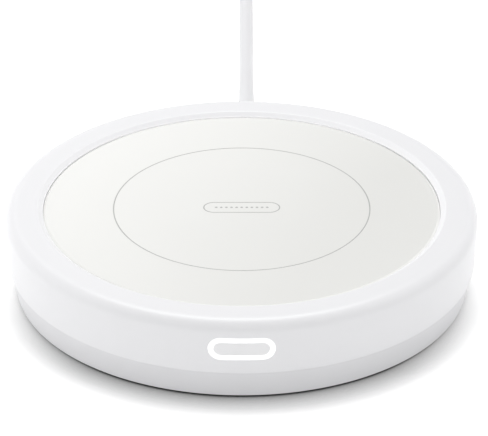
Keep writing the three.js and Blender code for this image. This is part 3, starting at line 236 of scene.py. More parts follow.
LEAD_ROUTE = [
    (1.3, 98.3, 5.4), (1.3, 103, 5.4), (1.3, 108, 5.05), (1.3, 113, 4.3), (1.3, 118, 3.45),
    (1.3, 123, 2.75), (1.3, 128, 2.3), (1.3, 134, 2.1), (1.3, 141, 2.1), (1.3, 149, 2.1),
    (1.3, 157, 2.1), (1.3, 165, 2.1), (1.3, 174, 2.1), (1.3, 183, 2.1), (1.3, 192, 2.3),
    (1.3, 200, 2.55), (1.3, 205, 2.65), (1.3, 209.7, 2.65),
]
END_ROUTE = [
    (-26.16, 182.24, 7.15), (-22, 182.24, 7.15), (-17, 182.24, 7.1), (-12, 182.24, 7),
    (-7, 182.24, 6.85), (-2.5, 182.24, 6.75), (1.3, 182.24, 6.65), (3.6, 182.24, 6.4),
    (5.6, 182.24, 5.85), (7.4, 182.24, 5.15), (9, 182.24, 4.55), (10.5, 182.24, 4.2),
    (12, 182.24, 4.05), (13.5, 182.24, 4), (15, 182.24, 4),
]

cord_radius = CORD_DIAMETER / 2
coil_pitch = CORD_DIAMETER + COIL_TURN_GAP
coil_layer_rise = CORD_DIAMETER + COIL_LAYER_GAP
coil_span = coil_pitch * COIL_TURNS / 2
coil_inner = COIL_MEAN_DIAMETER / 2 - coil_span / 2
coil_outer = coil_inner + coil_span
coil_centre = Vector((CORD_X - coil_outer, COIL_CENTRE_Y, 0))
coil_level = cord_radius + TIE_THICKNESS + SLIDE_GAP

# Strain relief
RELIEF_SEAT = 1.6
RELIEF_ROOT = 7.2
RELIEF_TIP = 4.06
RELIEF_CURVE = 2.6
RELIEF_NECK = 5.2
RELIEF_GROOVES = 4
RELIEF_PITCH = 4
RELIEF_GROOVE_WIDTH = 1.4
RELIEF_GROOVE_DEPTH = 0.7
RELIEF_GROOVE_START = 3.4
RELIEF_EDGE = 0.3
RELIEF_SEGMENTS = 64

# Plug
GRIP_LENGTH = 24
GRIP_WIDTH = 15.6
GRIP_HEIGHT = 8
GRIP_CORNER = 2.4
GRIP_FILLET = 1
COLLAR_LENGTH = 7
COLLAR_TUCK = 1.5
COLLAR_PROFILE = [(-COLLAR_LENGTH, 2.2), (-6.9, 2.4), (-6.6, 2.5), (-0.6, 3.4), (0, 3.65)]
GRIP_GROOVES = 3
GROOVE_PITCH = 3
GROOVE_WIDTH = 1.2
GROOVE_PROFILE = [(-0.1, 0), (0.05, 0.1), (0.15, 0.37), (0.3, 0.45)]
SHELL_WALL = 0.35
SHELL_CORNER = 0.6
SHELL_INNER_CORNER = 0.35
SHELL_INSET = 2
SHELL_FIT = 0.1
NOSE_EDGE = 0.2
WINDOW_SIDE = 2.2
WINDOW_OFFSET = 2.6
WINDOW_REACH = 5
CONTACT_COUNT = 4
CONTACT_PITCH = 2.4
CONTACT_WIDTH = 1.1
CONTACT_LENGTH = 7
CONTACT_RISE = 0.04
CONTACT_INSET = 1

plug_x = shell_low.x + SHELL_INSET - GRIP_LENGTH
plug_y = (shell_low.y + shell_high.y) / 2
plug_z = (shell_low.z + shell_high.z) / 2


# Shader maths and nodes

class Wire:
    """A socket that varies over a surface; sums and products add their Math nodes."""

    def __init__(self, finish, socket):
        self.finish = finish
        self.socket = socket

    def math(self, operation, *terms):
        return self.finish.node("Math", dict(enumerate(terms)), operation=operation)

    def __add__(self, other):
        return self.math("ADD", self, other)

    def __sub__(self, other):
        return self.math("SUBTRACT", self, other)

    def __rsub__(self, other):
        return self.math("SUBTRACT", other, self)

    def __mul__(self, other):
        return self.math("MULTIPLY", self, other)


class Finish:
    """One material and the nodes that are made for it."""

    def __init__(self, name, **sockets):
        self.material = bpy.data.materials.new(name)
        self.material.use_nodes = True
        self.tree = self.material.node_tree
        self.shader = self.tree.nodes["Principled BSDF"]
        self.place = self.node("TexCoord", {}, "Object")
        for name, value in sockets.items():
            self.feed(name.replace("_", " ").title().replace("Ior", "IOR"), value)

    def node(self, kind, inputs, output=0, **settings):
        """One of a new node's outputs, with its inputs fed by name or number."""
        made = self.tree.nodes.new("ShaderNode" + kind)
        for name, value in settings.items():
            setattr(made, name, value)
        for key, value in inputs.items():
            self.connect(made.inputs[key], value)
        return Wire(self, made.outputs[output])

    def connect(self, socket, value):
        if isinstance(value, Wire):
            self.tree.links.new(value.socket, socket)
        else:
            socket.default_value = value

    def feed(self, name, value):
        self.connect(self.shader.inputs[name], value)

    def noise(self, grain, detail=2, roughness=0.5):
        """Noise between 0 and 1 whose grains are about that many millimetres across."""
        return self.node("TexNoise", {
            "Vector": self.place, "Scale": 1 / (grain * MM), "Detail": detail, "Roughness": roughness,
        })

    def along(self, axis):
        """A point's place along one axis of the object."""
        return self.node("SeparateXYZ", {"Vector": self.place}, axis)

    def blend(self, share, first, second):
        """A colour between two, by a share from 0 to 1; the first may vary too."""
        first = first if isinstance(first, Wire) else (*first, 1)
        return self.node("Mix", {0: share, 6: first, 7: (*second, 1)}, 2, data_type="RGBA")

    def ranged(self, value, low, high, at_low, at_high):
        """From at_low to at_high, while a value goes from low to high."""
        return self.node("MapRange", {
            "Value": value, "From Min": low, "From Max": high, "To Min": at_low, "To Max": at_high,
        }, "Result")

    def roughen(self, middle, noises, spreads):
        """Roughness about a middle value, that two noises move up and down by their spreads."""
        rough = noises[0] * spreads[0] + noises[1] * spreads[1]
        self.feed("Roughness", rough + (middle - sum(spreads) / 2))

    def bump(self, height, depth):
        """Raises the surface by a height from 0 to 1, at most depth millimetres."""
        self.feed("Normal", self.node("Bump", {"Height": height, "Distance": depth * MM}))


MOULD_DRIFT = 14
MOULD_SPREAD = (0.08, 0.1)
FINE_SHARE = 0.3
# Paler colour painted inside a radius of a part's middle: painted light on the housing's shaded inner rim
PAINTED_LIGHT_FADE = 0.3
PAINTED_LIGHT_COLOUR = (0.95, 0.95, 0.965)
METAL_DRIFT = 5
METAL_SHADE = 0.92
METAL_SPREAD = (0.16, 0.08)
SCRATCH_DEPTH = 0.002
SCRATCH_STRETCH = (0.06, 1, 1)


def moulded(name, colour, grain, roughness, shade, depth=0.004, painted_light_radius=None):
    """Moulded plastic: a fine spark-eroded grain, and a slow drift in colour and gloss. Within a given
    radius of its middle, in millimetres, the colour is painted paler: painted light on shaded surfaces."""
    finish = Finish(name)
    drift = finish.noise(MOULD_DRIFT, detail=3)
    fine = finish.noise(grain, detail=3, roughness=0.6)
    darker = [c * (1 - shade) for c in colour]
    lighter = [min(1, c * (1 + shade)) for c in colour]
    tint = finish.blend(drift * (1 - FINE_SHARE) + fine * FINE_SHARE, darker, lighter)
    # Painted light: the colour turns paler inside the radius
    if painted_light_radius:
        flat = finish.node("VectorMath", {0: finish.place, 1: (1, 1, 0)}, operation="MULTIPLY")
        radius = finish.node("VectorMath", {0: flat}, "Value", operation="LENGTH")
        near = finish.ranged(radius, painted_light_radius * MM, (painted_light_radius + PAINTED_LIGHT_FADE) * MM, 1.0, 0.0)
        tint = finish.blend(near, tint, PAINTED_LIGHT_COLOUR)
    finish.feed("Base Color", tint)
    finish.roughen(roughness, (drift, fine), MOULD_SPREAD)
    finish.bump(fine, depth)
    return finish.material


def metal(name, colour, roughness, grain):
    """Plated or rolled metal with fine scratches along X and a slow change in gloss."""
    finish = Finish(name, metallic=1.0)
    stretched = finish.node("Mapping", {"Vector": finish.place, "Scale": SCRATCH_STRETCH})
    lines = finish.node("TexNoise", {"Vector": stretched, "Scale": 1 / (grain * MM), "Detail": 3})
    drift = finish.noise(METAL_DRIFT)
    finish.feed("Base Color", finish.blend(drift, [c * METAL_SHADE for c in colour], colour))
    finish.roughen(roughness, (lines, drift), METAL_SPREAD)
    finish.bump(lines, SCRATCH_DEPTH)
    return finish.material


def clouded(name, grain, darker, lighter, roughness, detail=3, relief=None, **sockets):
    """A finish that drifts between two colours and, with a spread, in gloss. Its relief is a
    bump's grain, detail and depth."""
    finish = Finish(name, **sockets)
    drift = finish.noise(grain, detail=detail)
    finish.feed("Base Color", finish.blend(drift, darker, lighter))
    least, spread = roughness
    finish.feed("Roughness", drift * spread + least)
    if relief:
        bump_grain, bump_detail, bump_depth = relief
        finish.bump(finish.noise(bump_grain, detail=bump_detail), bump_depth)
    return finish.material


# Meshes

def build(name, points, faces, material):
    """An object in metres from points in millimetres, with doubles merged and faces outwards."""
    grid = bmesh.new()
    corners = [grid.verts.new(p) for p in points]
    for face in faces:
        grid.faces.new([corners[i] for i in face])
    bmesh.ops.remove_doubles(grid, verts=grid.verts, dist=MERGE_DISTANCE)
    bmesh.ops.dissolve_degenerate(grid, edges=grid.edges, dist=MERGE_DISTANCE)
    bmesh.ops.recalc_face_normals(grid, faces=grid.faces)
    bmesh.ops.scale(grid, vec=(MM, MM, MM), verts=grid.verts)
    mesh = bpy.data.meshes.new(name)
    grid.to_mesh(mesh)
    grid.free()
    mesh.materials.append(material)
    thing = bpy.data.objects.new(name, mesh)
    scene.collection.objects.link(thing)
    soften(mesh)
    return thing


def soften(mesh):
    """Smooth shading, with the steep edges kept sharp."""
    mesh.polygons.foreach_set("use_smooth", [True] * len(mesh.polygons))
    mesh.set_sharp_from_angle(angle=SMOOTH_ANGLE)


def settled(thing):
    """Applies an object's modifiers to its mesh."""
    graph = bpy.context.evaluated_depsgraph_get()
    mesh = bpy.data.meshes.new_from_object(thing.evaluated_get(graph))
    thing.modifiers.clear()
    thing.data = mesh
    soften(mesh)
    return thing


def carve(thing, *tools):
    """Cuts tools out of a thing and throws the tools away."""
    for tool in tools:
        modifier = thing.modifiers.new("carve", "BOOLEAN")
        modifier.operation = "DIFFERENCE"
        modifier.solver = "EXACT"
        modifier.object = tool
    settled(thing)
    for tool in tools:
        bpy.data.objects.remove(tool)
    return thing


def merged(*skins):
    """The points and faces of several skins as one."""
    points, faces = [], []
    for skin_points, skin_faces in skins:
        faces += [[i + len(points) for i in face] for face in skin_faces]
        points += skin_points
    return points, faces


def polar(radius, angle, centre=(0, 0)):
    """A point of a circle."""
    return centre[0] + radius * math.cos(angle), centre[1] + radius * math.sin(angle)


def rounded(corners, closed=True):
    """An outline through (across, up, rounding) corners. A point just past each end of an arc
    keeps the shading of the flat beside it."""
    outline = []
    count = len(corners)
    for i, (x, y, radius) in enumerate(corners):
        here = Vector((x, y))
        if not radius or (not closed and i in (0, count - 1)):
            outline.append((x, y))
            continue
        back = (Vector(corners[i - 1][:2]) - here).normalized()
        ahead = (Vector(corners[(i + 1) % count][:2]) - here).normalized()
        half = back.angle(ahead) / 2
        reach = radius / math.tan(half)
        centre = here + (back + ahead).normalized() * radius / math.sin(half)
        start = here + back * reach - centre
        sweep = (math.pi - 2 * half) * (1 if start.y * back.x - start.x * back.y > 0 else -1)
        hold = radius / HOLD_PART
        outline.append(tuple(centre + start + back * hold))
        steps = max(2, math.ceil(abs(sweep) / ARC_ANGLE))
        for step in range(steps + 1):
            turn = Matrix.Rotation(sweep * step / steps, 2)
            outline.append(tuple(centre + turn @ start))
        outline.append(tuple(here + ahead * (reach + hold)))
    return outline


def turned(outline, segments=LATHE_SEGMENTS, centre=(0, 0), closed=True, skip=None):
    """Points and faces of an outline of (radius, level) turned about a vertical axis."""
    points, faces, rings = [], [], []
    for radius, level in outline:
        count = 1 if radius < TINY else segments
        rings.append([len(points) + i for i in range(count)])
        for i in range(count):
            angle = FULL_TURN * i / segments - math.pi / 2
            points.append((*polar(radius, angle, centre), level))
    pairs = list(zip(rings, rings[1:] + rings[:1] if closed else rings[1:]))
    for row, (low, high) in enumerate(pairs):
        if len(low) == len(high) == 1:
            continue
        for i in range(segments):
            if skip and skip(row, i):
                continue
            j = (i + 1) % segments
            corners = [low[i % len(low)], low[j % len(low)], high[j % len(high)], high[i % len(high)]]
            faces.append(list(dict.fromkeys(corners)))
    return points, faces


def lofted(rings, cap_start=True, cap_end=True):
    """Points and faces of a skin through rings with the same number of points."""
    count = len(rings[0])
    points = [p for ring in rings for p in ring]
    faces = []
    for low in range(0, len(points) - count, count):
        high = low + count
        for i in range(count):
            j = (i + 1) % count
            faces.append([low + i, low + j, high + j, high + i])
    if cap_start:
        faces.append(list(range(count))[::-1])
    if cap_end:
        faces.append([len(points) - count + i for i in range(count)])
    return points, faces


def eased(edge):
    """(inset, depth) steps of a quarter round, from the side of an edge to its face."""
    angles = [math.pi / 2 * step / EDGE_STEPS for step in range(EDGE_STEPS + 1)]
    return [(edge * (1 - math.cos(a)), edge * (1 - math.sin(a))) for a in angles]


def smooth_route(route):
    """A Catmull-Rom line through a route's points, with ROUTE_STEPS steps from each to the next."""
    ends = [2 * Vector(route[0]) - Vector(route[1]), 2 * Vector(route[-1]) - Vector(route[-2])]
    line = [ends[0], *map(Vector, route), ends[1]]
    points = []
    for a, b, c, d in zip(line, line[1:], line[2:], line[3:]):
        for step in range(ROUTE_STEPS):
            t = step / ROUTE_STEPS
            points.append(0.5 * (2 * b + (c - a) * t + (2 * a - 5 * b + 4 * c - d) * t * t
                                 + (3 * b - a - 3 * c + d) * t ** 3))
    return points + [Vector(route[-1])]


def swept(path, radius, sides):
    """Rings round a path, carried along it without twist."""
    rings = []
    side = None
    for i, point in enumerate(path):
        along = (path[min(i + 1, len(path) - 1)] - path[max(i - 1, 0)]).normalized()
        side = along.orthogonal() if side is None else side - along * side.dot(along)
        side.normalize()
        other = along.cross(side)
        angles = [FULL_TURN * k / sides for k in range(sides)]
        rings.append([point + radius * (math.cos(a) * side + math.sin(a) * other) for a in angles])
    return rings


def pill(width, height, offset=0.0):
    """A pill outline grown by an offset, from the middle of its lower side, anticlockwise."""
    reach = (width - height) / 2
    radius = height / 2 + offset
    side = [-reach + 2 * reach * i / PILL_SIDE_STEPS for i in range(PILL_SIDE_STEPS)]
    half = PILL_SIDE_STEPS // 2
    arc = [math.pi * i / PILL_END_STEPS - math.pi / 2 for i in range(PILL_END_STEPS)]
    outline = [(x, -radius) for x in side[half:]]
    outline += [polar(radius, a, (reach, 0)) for a in arc]
    outline += [(-x, radius) for x in side]
    outline += [polar(-radius, a, (-reach, 0)) for a in arc]
    outline += [(x, -radius) for x in side[:half]]
    return outline


def wall_radius(level):
    """Radius of the housing's wall, which leans in towards the parting line."""
    drop = max(0, fillet_level - level) / (fillet_level - parting_level + PARTING_GAP)
    return body_radius - WALL_DRAFT * drop


def pill_ring(width, height, offset, depth=0.0, plane=None):
    """A pill outline laid on the front wall, so far behind it, or on a plane."""
    ring = []
    for x, z in pill(width, height, offset):
        level = button_level + z
        front = math.sqrt(wall_radius(level) ** 2 - x * x) - depth if plane is None else plane
        ring.append((x, -front, level))
    return ring


# Housing

def patch_levels(top):
    """Levels of the patch's rows of faces, from its bottom to its top."""
    return [PATCH_BOTTOM + (top - PATCH_BOTTOM) * i / PATCH_ROWS for i in range(PATCH_ROWS + 1)]


def patch_border(top):
    """(column, level) round the patch in the wall, in step with the pill's points."""
    half = PATCH_COLUMNS // 2
    levels = patch_levels(top)[:-1]
    border = [(c, PATCH_BOTTOM) for c in range(half)]
    border += [(half, z) for z in levels]
    border += [(-c, top) for c in range(-half, half)]
    border += [(-half, top + PATCH_BOTTOM - z) for z in levels]
    return border + [(c, PATCH_BOTTOM) for c in range(-half, 0)]


def patch_rings(top, radius_at, start_offset):
    """Rings from a pill outline out to the patch's border, all on the wall."""
    inner = pill(window_width, window_height, start_offset)
    rings = []
    for step in range(PATCH_RINGS + 1):
        share = step / PATCH_RINGS
        ring = []
        for (x, z), (column, level) in zip(inner, patch_border(top)):
            angle = FULL_TURN * column / LATHE_SEGMENTS
            across = math.asin(x / radius_at(button_level + z)) * (1 - share) + angle * share
            height = (button_level + z) * (1 - share) + level * share
            radius = radius_at(height)
            ring.append((radius * math.sin(across), -radius * math.cos(across), height))
        rings.append(ring)
    return rings


def make_housing(material):
    """The turned housing. Its wall has a patch on each side that is woven round the window."""
    outline = rounded([
        (rim_radius, parting_level, PARTING_EDGE),
        (body_radius + WALL_DRAFT * TOP_FILLET / (fillet_level - parting_level), body_height, TOP_FILLET),
        (lip_radius + LIP_WIDTH + BEZEL_SLOPE, body_height, BEZEL_EDGE),
        (lip_radius + LIP_WIDTH, body_height - LIP_DROP, LIP_EDGE),
        (lip_radius, body_height - LIP_DROP, LIP_EDGE),
        (lip_radius, body_height - LIP_DROP - LIP_DEPTH, LIP_EDGE),
        (pocket_radius, body_height - LIP_DROP - 2 * LIP_DEPTH, LIP_EDGE),
        (pocket_radius, ledge_top, MOULD_EDGE),
        (ledge_radius, ledge_top, MOULD_EDGE),
        (ledge_radius, ledge_bottom, MOULD_EDGE),
        (pocket_outer, ledge_bottom, MOULD_EDGE),
        (pocket_outer, bezel_bottom, MOULD_EDGE),
        (inner_radius, bezel_bottom, INNER_FILLET),
        (inner_radius, parting_level, MOULD_EDGE),
    ])
    inside_top = bezel_bottom - INNER_FILLET - MOULD_EDGE
    outside = [(wall_radius(z), z) for z in patch_levels(fillet_level)]
    inside = [(inner_radius, z) for z in reversed(patch_levels(inside_top))]
    levels = [z for _, z in outline]
    first = next(i for i, z in enumerate(levels) if z > PATCH_BOTTOM)
    above = next(i for i, z in enumerate(levels) if z > fillet_level + TINY)
    below = max(i for i, z in enumerate(levels) if z > inside_top) + 1
    body = outline[:first] + outside + outline[above:below] + inside + outline[below:]
    inner_start = first + len(outside) + below - above
    half = PATCH_COLUMNS // 2

    def in_patch(row, column):
        near = column < half or column >= LATHE_SEGMENTS - half
        in_outer = first <= row < first + PATCH_ROWS
        in_inner = inner_start <= row < inner_start + PATCH_ROWS
        return near and (in_outer or in_inner)

    window = partial(pill_ring, window_width, window_height)
    outer = patch_rings(fillet_level, wall_radius, WINDOW_MARGIN)[::-1]
    edge = [window(offset, depth) for depth, offset in eased(WINDOW_EDGE)]
    pad = [window(0, plane=pad_plane), window(PAD_MARGIN, plane=pad_plane)]
    behind = patch_rings(inside_top, lambda z: inner_radius, PAD_MARGIN)
    skin = lofted([*outer, *edge, *pad, *behind], False, False)
    return build("housing", *merged(turned(body, skip=in_patch), skin), material)


# Base and feet

def make_base(material):
    """A tapered band, a floor and a rim, cut for the feet, the cord and the key."""
    shell = build("base", *turned(rounded([
        (0, foot_proud, 0),
        (band_bottom_radius, foot_proud, BAND_FILLET),
        (band_top_radius, parting_level - PARTING_GAP, BAND_EDGE),
        (rim_outer, parting_level - PARTING_GAP, 0),
        (rim_outer, rim_top, MOULD_EDGE),
        (rim_inner, rim_top, MOULD_EDGE),
        (rim_inner, floor_top, INNER_FILLET),
        (0, floor_top, 0),
    ])), material)
    tools = [foot_recess(i, material) for i in range(FOOT_COUNT)]
    half = SLOT_WIDTH / 2
    slot = [(CORD_X + half, rim_top + CUT_PAST), (CORD_X - half, rim_top + CUT_PAST)]
    for step in range(SLOT_STEPS + 1):
        slot.append(polar(half, math.pi + math.pi * step / SLOT_STEPS, (CORD_X, EXIT_LEVEL)))
    rings = [[(x, y, z) for x, z in slot] for y in (rim_inner - SLOT_REACH, body_radius + CUT_PAST)]
    tools.append(build("slot", *lofted(rings), material))
    half = ring_width / 2 + NOTCH_MARGIN
    front, back = key_low.y - CUT_PAST, CUT_PAST - flange_back
    notch = [(-half, front), (half, front), (half, back), (-half, back)]
    rings = [[(x, y, z) for x, y in notch] for z in (parting_level + NOTCH_RISE, rim_top + CUT_PAST)]
    tools.append(build("notch", *lofted(rings), material))
    return carve(shell, *tools)


def foot_recess(index, material):
    """The space that a foot's seat takes out of the base."""
    angle = FULL_TURN * (index + 1 / 2) / FOOT_COUNT
    radius = foot_radius + FOOT_GAP
    low = foot_proud - CUT_PAST
    outline = [(0, low), (radius, low), (radius, foot_high.z), (0, foot_high.z)]
    return build("recess", *turned(outline, FOOT_SEGMENTS, polar(foot_circle, angle)), material)


COPY_NODES = {"copies": "InstanceOnPoints", "real": "RealizeInstances", "paint": "SetMaterial"}
COPY_LINKS = [
    ("copies", "Instances", "real", "Geometry"),
    ("real", "Geometry", "paint", "Geometry"),
    ("entry", "Finish", "paint", "Material"),
    ("paint", "Geometry", "leave", "Geometry"),
]


def make_copies(name, nodes, links, values):
    """A mesh of copies that Geometry Nodes set on points. The nodes and links are the tree's own,
    beside the common ones; the values are its named inputs, each with its kind of socket."""
    tree = bpy.data.node_groups.new(name, "GeometryNodeTree")
    for label, (kind, value) in values.items():
        tree.interface.new_socket(label, in_out="INPUT", socket_type="NodeSocket" + kind)
    tree.interface.new_socket("Geometry", in_out="OUTPUT", socket_type="NodeSocketGeometry")
    made = {"entry": tree.nodes.new("NodeGroupInput"), "leave": tree.nodes.new("NodeGroupOutput")}
    for label, kind in {**COPY_NODES, **nodes}.items():
        made[label] = tree.nodes.new("GeometryNode" + kind)
    for source, output, target, entry in COPY_LINKS + links:
        tree.links.new(made[source].outputs[output], made[target].inputs[entry])
    thing = bpy.data.objects.new(name, bpy.data.meshes.new(name))
    scene.collection.objects.link(thing)
    modifier = thing.modifiers.new(name, "NODES")
    modifier.node_group = tree
    for item in tree.interface.items_tree:
        if item.in_out == "INPUT":
            modifier[item.identifier] = values[item.name][1]
    return settled(thing)


def make_row(name, kind, shape, count, start, step, material):
    """Copies of one small shape along a line."""
    links = [
        ("entry", "Start", "line", "Start Location"),
        ("entry", "Step", "line", "Offset"),
        ("entry", "Count", "line", "Count"),
        ("line", "Mesh", "copies", "Points"),
        ("shape", "Mesh", "copies", "Instance"),
        *[("entry", label, "shape", label) for label in shape],
    ]
    values = {"Start": ("Vector", start), "Step": ("Vector", step), "Count": ("Int", count),
              "Finish": ("Material", material), **shape}
    return make_copies(name, {"line": "MeshLine", "shape": kind}, links, values)


def make_feet(material):
    """Four turned feet, set round a circle."""
    sample = build("foot_sample", *turned(rounded([
        (0, FOOT_HOLLOW, 0),
        (foot_radius - FOOT_HOLLOW_INSET, FOOT_HOLLOW, FOOT_RIM_EDGE),
        (foot_radius - FOOT_RIM_INSET, 0, FOOT_RIM_EDGE),
        (foot_radius, 0, FOOT_EDGE),
        (foot_radius, foot_high.z, FOOT_TOP_EDGE),
        (0, foot_high.z, 0),
    ]), FOOT_SEGMENTS), material)
    nodes = {"circle": "MeshCircle", "turn": "Transform", "foot": "ObjectInfo"}
    links = [
        ("entry", "Foot", "foot", "Object"),
        ("entry", "Circle Radius", "circle", "Radius"),
        ("entry", "Count", "circle", "Vertices"),
        ("entry", "Turn", "turn", "Rotation"),
        ("circle", "Mesh", "turn", "Geometry"),
        ("turn", "Geometry", "copies", "Points"),
        ("foot", "Geometry", "copies", "Instance"),
    ]
    feet = make_copies("feet", nodes, links, {
        "Foot": ("Object", sample),
        "Circle Radius": ("Float", foot_circle * MM),
        "Count": ("Int", FOOT_COUNT),
        "Turn": ("Vector", (0.0, 0.0, math.pi / FOOT_COUNT)),
        "Finish": ("Material", material),
    })
    bpy.data.objects.remove(sample)
    return feet


# Plate and print

def make_plate(material):
    """The glass, with a bevelled upper edge."""
    outline = rounded([
        (0, plate_bottom, 0),
        (plate_radius, plate_bottom, PLATE_LOWER_EDGE),
        (plate_radius, plate_top - PLATE_BEVEL_DROP, PLATE_EDGE),
        (plate_radius - PLATE_BEVEL_WIDTH, plate_top, PLATE_EDGE),
        (0, plate_top, 0),
    ])
    return build("glass_top", *turned(outline), material)


def make_print(material):
    """A thin circle, and a pill outline at its middle."""
    low, high = plate_top - PRINT_RISE, plate_top + PRINT_RISE
    inner, outer = PRINT_RADIUS - PRINT_LINE / 2, PRINT_RADIUS + PRINT_LINE / 2
    circle = turned([(inner, low), (outer, low), (outer, high), (inner, high)])
    half = OUTLINE_LINE / 2
    bands = [(half, low), (-half, low), (-half, high), (half, high), (half, low)]
    rings = [[(x, y, z) for x, y in pill(OUTLINE_WIDTH, OUTLINE_HEIGHT, offset)] for offset, z in bands]
    return build("plate_print", *merged(circle, lofted(rings, False, False)), material)


def make_dots(material):
    """The dots in the print's outline."""
    dot = {"Vertices": ("Int", DOT_SIDES), "Radius": ("Float", DOT_RADIUS * MM),
           "Depth": ("Float", 2 * PRINT_RISE * MM)}
    start = (-(DOT_COUNT - 1) / 2 * DOT_PITCH * MM, 0.0, plate_top * MM)
    step = (DOT_PITCH * MM, 0.0, 0.0)
    return make_row("plate_dots", "MeshCylinder", dot, DOT_COUNT, start, step, material)


# Lit ring and key

def make_ring(material):
    """The ring's lit face in the window, and its flange behind the wall."""
    outer = partial(pill_ring, ring_width, ring_height)
    inner = partial(pill_ring, opening_width, opening_height)
    rings = [outer(0, plane=pad_plane)]
    rings += [outer(-inset, depth) for inset, depth in eased(RING_EDGE)]
    rings += [inner(RING_BAND / 2)]
    rings += [inner(inset, depth) for inset, depth in reversed(eased(RING_EDGE))]
    rings += [inner(0, plane=flange_back), outer(FLANGE_EDGE, plane=flange_back)]
    rings += [outer(FLANGE_EDGE, plane=pad_plane), rings[0]]
    return build("light_ring", *lofted(rings, False, False), material)


def make_key(material):
    """The key's flange, its sides, and its face, which closes to a line."""
    key = partial(pill_ring, key_width, key_height)
    flange, seat = KEY_PLAY + KEY_FLANGE_MARGIN, flange_back - KEY_FLANGE_GAP
    rings = [key(flange, plane=flange_back - KEY_FLANGE), key(flange, plane=seat), key(0, plane=seat)]
    rings += [key(-inset, depth) for inset, depth in eased(KEY_EDGE)]
    rings += [key(-key_height / 2 * share) for share in KEY_FACE_SHARES]
    return build("key", *lofted(rings, cap_end=False), material)


# Cord

def coil_points():
    """Centre line of the coil: inwards below, a climb where it reverses, outwards above."""
    middle = COIL_TURNS / 2
    steps = round(COIL_TURNS * COIL_STEPS)
    soft = math.hypot(middle, REVERSAL_SOFTNESS) - REVERSAL_SOFTNESS
    points = []
    for i in range(steps + 1):
        turn = COIL_TURNS * i / steps
        offset = math.hypot(turn - middle, REVERSAL_SOFTNESS) - REVERSAL_SOFTNESS
        radius = coil_inner + coil_span * offset / soft
        climb = min(1, max(0, (turn - middle) / CLIMB_TURNS + 1 / 2))
        level = coil_level + coil_layer_rise * climb * climb * (3 - 2 * climb)
        points.append(coil_centre + Vector((*polar(radius, FULL_TURN * turn), level)))
    return points


def cord_path():
    """Centre line of the whole cord, from inside the sleeve to inside the plug's collar."""
    inside_sleeve = Vector((CORD_X, relief_end - CORD_TUCK, EXIT_LEVEL))
    inside_collar = Vector((plug_x - COLLAR_LENGTH + COLLAR_TUCK, plug_y, plug_z))
    return [inside_sleeve, *smooth_route(LEAD_ROUTE)[:-2], *coil_points(), *smooth_route(END_ROUTE)[2:],
            inside_collar]


def make_cord(material):
    return build("cord", *lofted(swept(cord_path(), cord_radius, CORD_SIDES)), material)


def make_relief(material):
    """The tapered sleeve, with soft-edged grooves near the wall and a neck through it."""
    start = body_radius - RELIEF_SEAT
    root, tip = RELIEF_ROOT / 2, RELIEF_TIP / 2

    def radius_at(y):
        left = (relief_end - y) / (relief_end - start)
        return tip + (root - tip) * left ** RELIEF_CURVE

    corners = [(0, relief_low.y, 0), (RELIEF_NECK / 2, relief_low.y, RELIEF_EDGE),
               (RELIEF_NECK / 2, start, 0), (radius_at(start), start, RELIEF_EDGE)]
    for i in range(RELIEF_GROOVES):
        y = body_radius + RELIEF_GROOVE_START + i * RELIEF_PITCH
        floor = radius_at(y) - RELIEF_GROOVE_DEPTH
        end = y + RELIEF_GROOVE_WIDTH
        corners += [(radius_at(y), y, RELIEF_EDGE), (floor, y, RELIEF_EDGE),
                    (floor, end, RELIEF_EDGE), (radius_at(end), end, RELIEF_EDGE)]
    corners += [(tip, relief_end, RELIEF_EDGE), (0, relief_end, 0)]
    points, faces = turned(rounded(corners, closed=False), RELIEF_SEGMENTS, closed=False)
    laid = [(CORD_X + x, z, EXIT_LEVEL + y) for x, y, z in points]
    return build("cord_sleeve", laid, faces, material)


def rounded_rectangle(width, height, corner):
    """A rectangle with round corners, anticlockwise from the middle of its right side."""
    across, up = width / 2 - corner, height / 2 - corner
    sides = [(width / 2, 0), (0, height / 2), (-width / 2, 0), (0, -height / 2)]
    centres = [(across, up), (-across, up), (-across, -up), (across, -up)]
    outline = []
    for quarter, (side, centre) in enumerate(zip(sides, centres)):
        outline.append(side)
        for step in range(CORNER_STEPS + 1):
            outline.append(polar(corner, math.pi / 2 * (quarter + step / CORNER_STEPS), centre))
    return outline


def make_tie(material):
    """The strap round the coil, with soft edges."""
    nearest = math.sqrt((coil_inner - cord_radius) ** 2 - (TIE_WIDTH / 2) ** 2) - SEAT_GAP
    farthest = coil_outer + cord_radius + SEAT_GAP
    low, high = TIE_THICKNESS, coil_level + coil_layer_rise + cord_radius + SLIDE_GAP
    width, height = farthest - nearest, high - low
    middle_x, middle_z = (nearest + farthest) / 2, (low + high) / 2
    side, flat = TIE_WIDTH / 2, TIE_WIDTH / 2 - TIE_EDGE
    shoulder = TIE_THICKNESS - TIE_EDGE
    outside = [(-side, shoulder), (-flat, TIE_THICKNESS), (flat, TIE_THICKNESS), (side, shoulder)]
    inside = [(side, TIE_EDGE), (flat, 0), (-flat, 0), (-side, TIE_EDGE)]
    turn = Matrix.Rotation(TIE_TURN_SHARE * FULL_TURN, 3, "Z")
    rings = []
    for along, grow in [*outside, *inside, outside[0]]:
        ring = rounded_rectangle(width + 2 * grow, height + 2 * grow, TIE_CORNER + grow)
        rings.append([coil_centre + turn @ Vector((middle_x + x, along, middle_z + z)) for x, z in ring])
    return build("cord_strap", *lofted(rings, False, False), material)


# Plug

def plug_ring(x, outline):
    """An outline set across the plug, so far in front of the grip's back."""
    return [(plug_x + x, plug_y + y, plug_z + z) for y, z in outline]


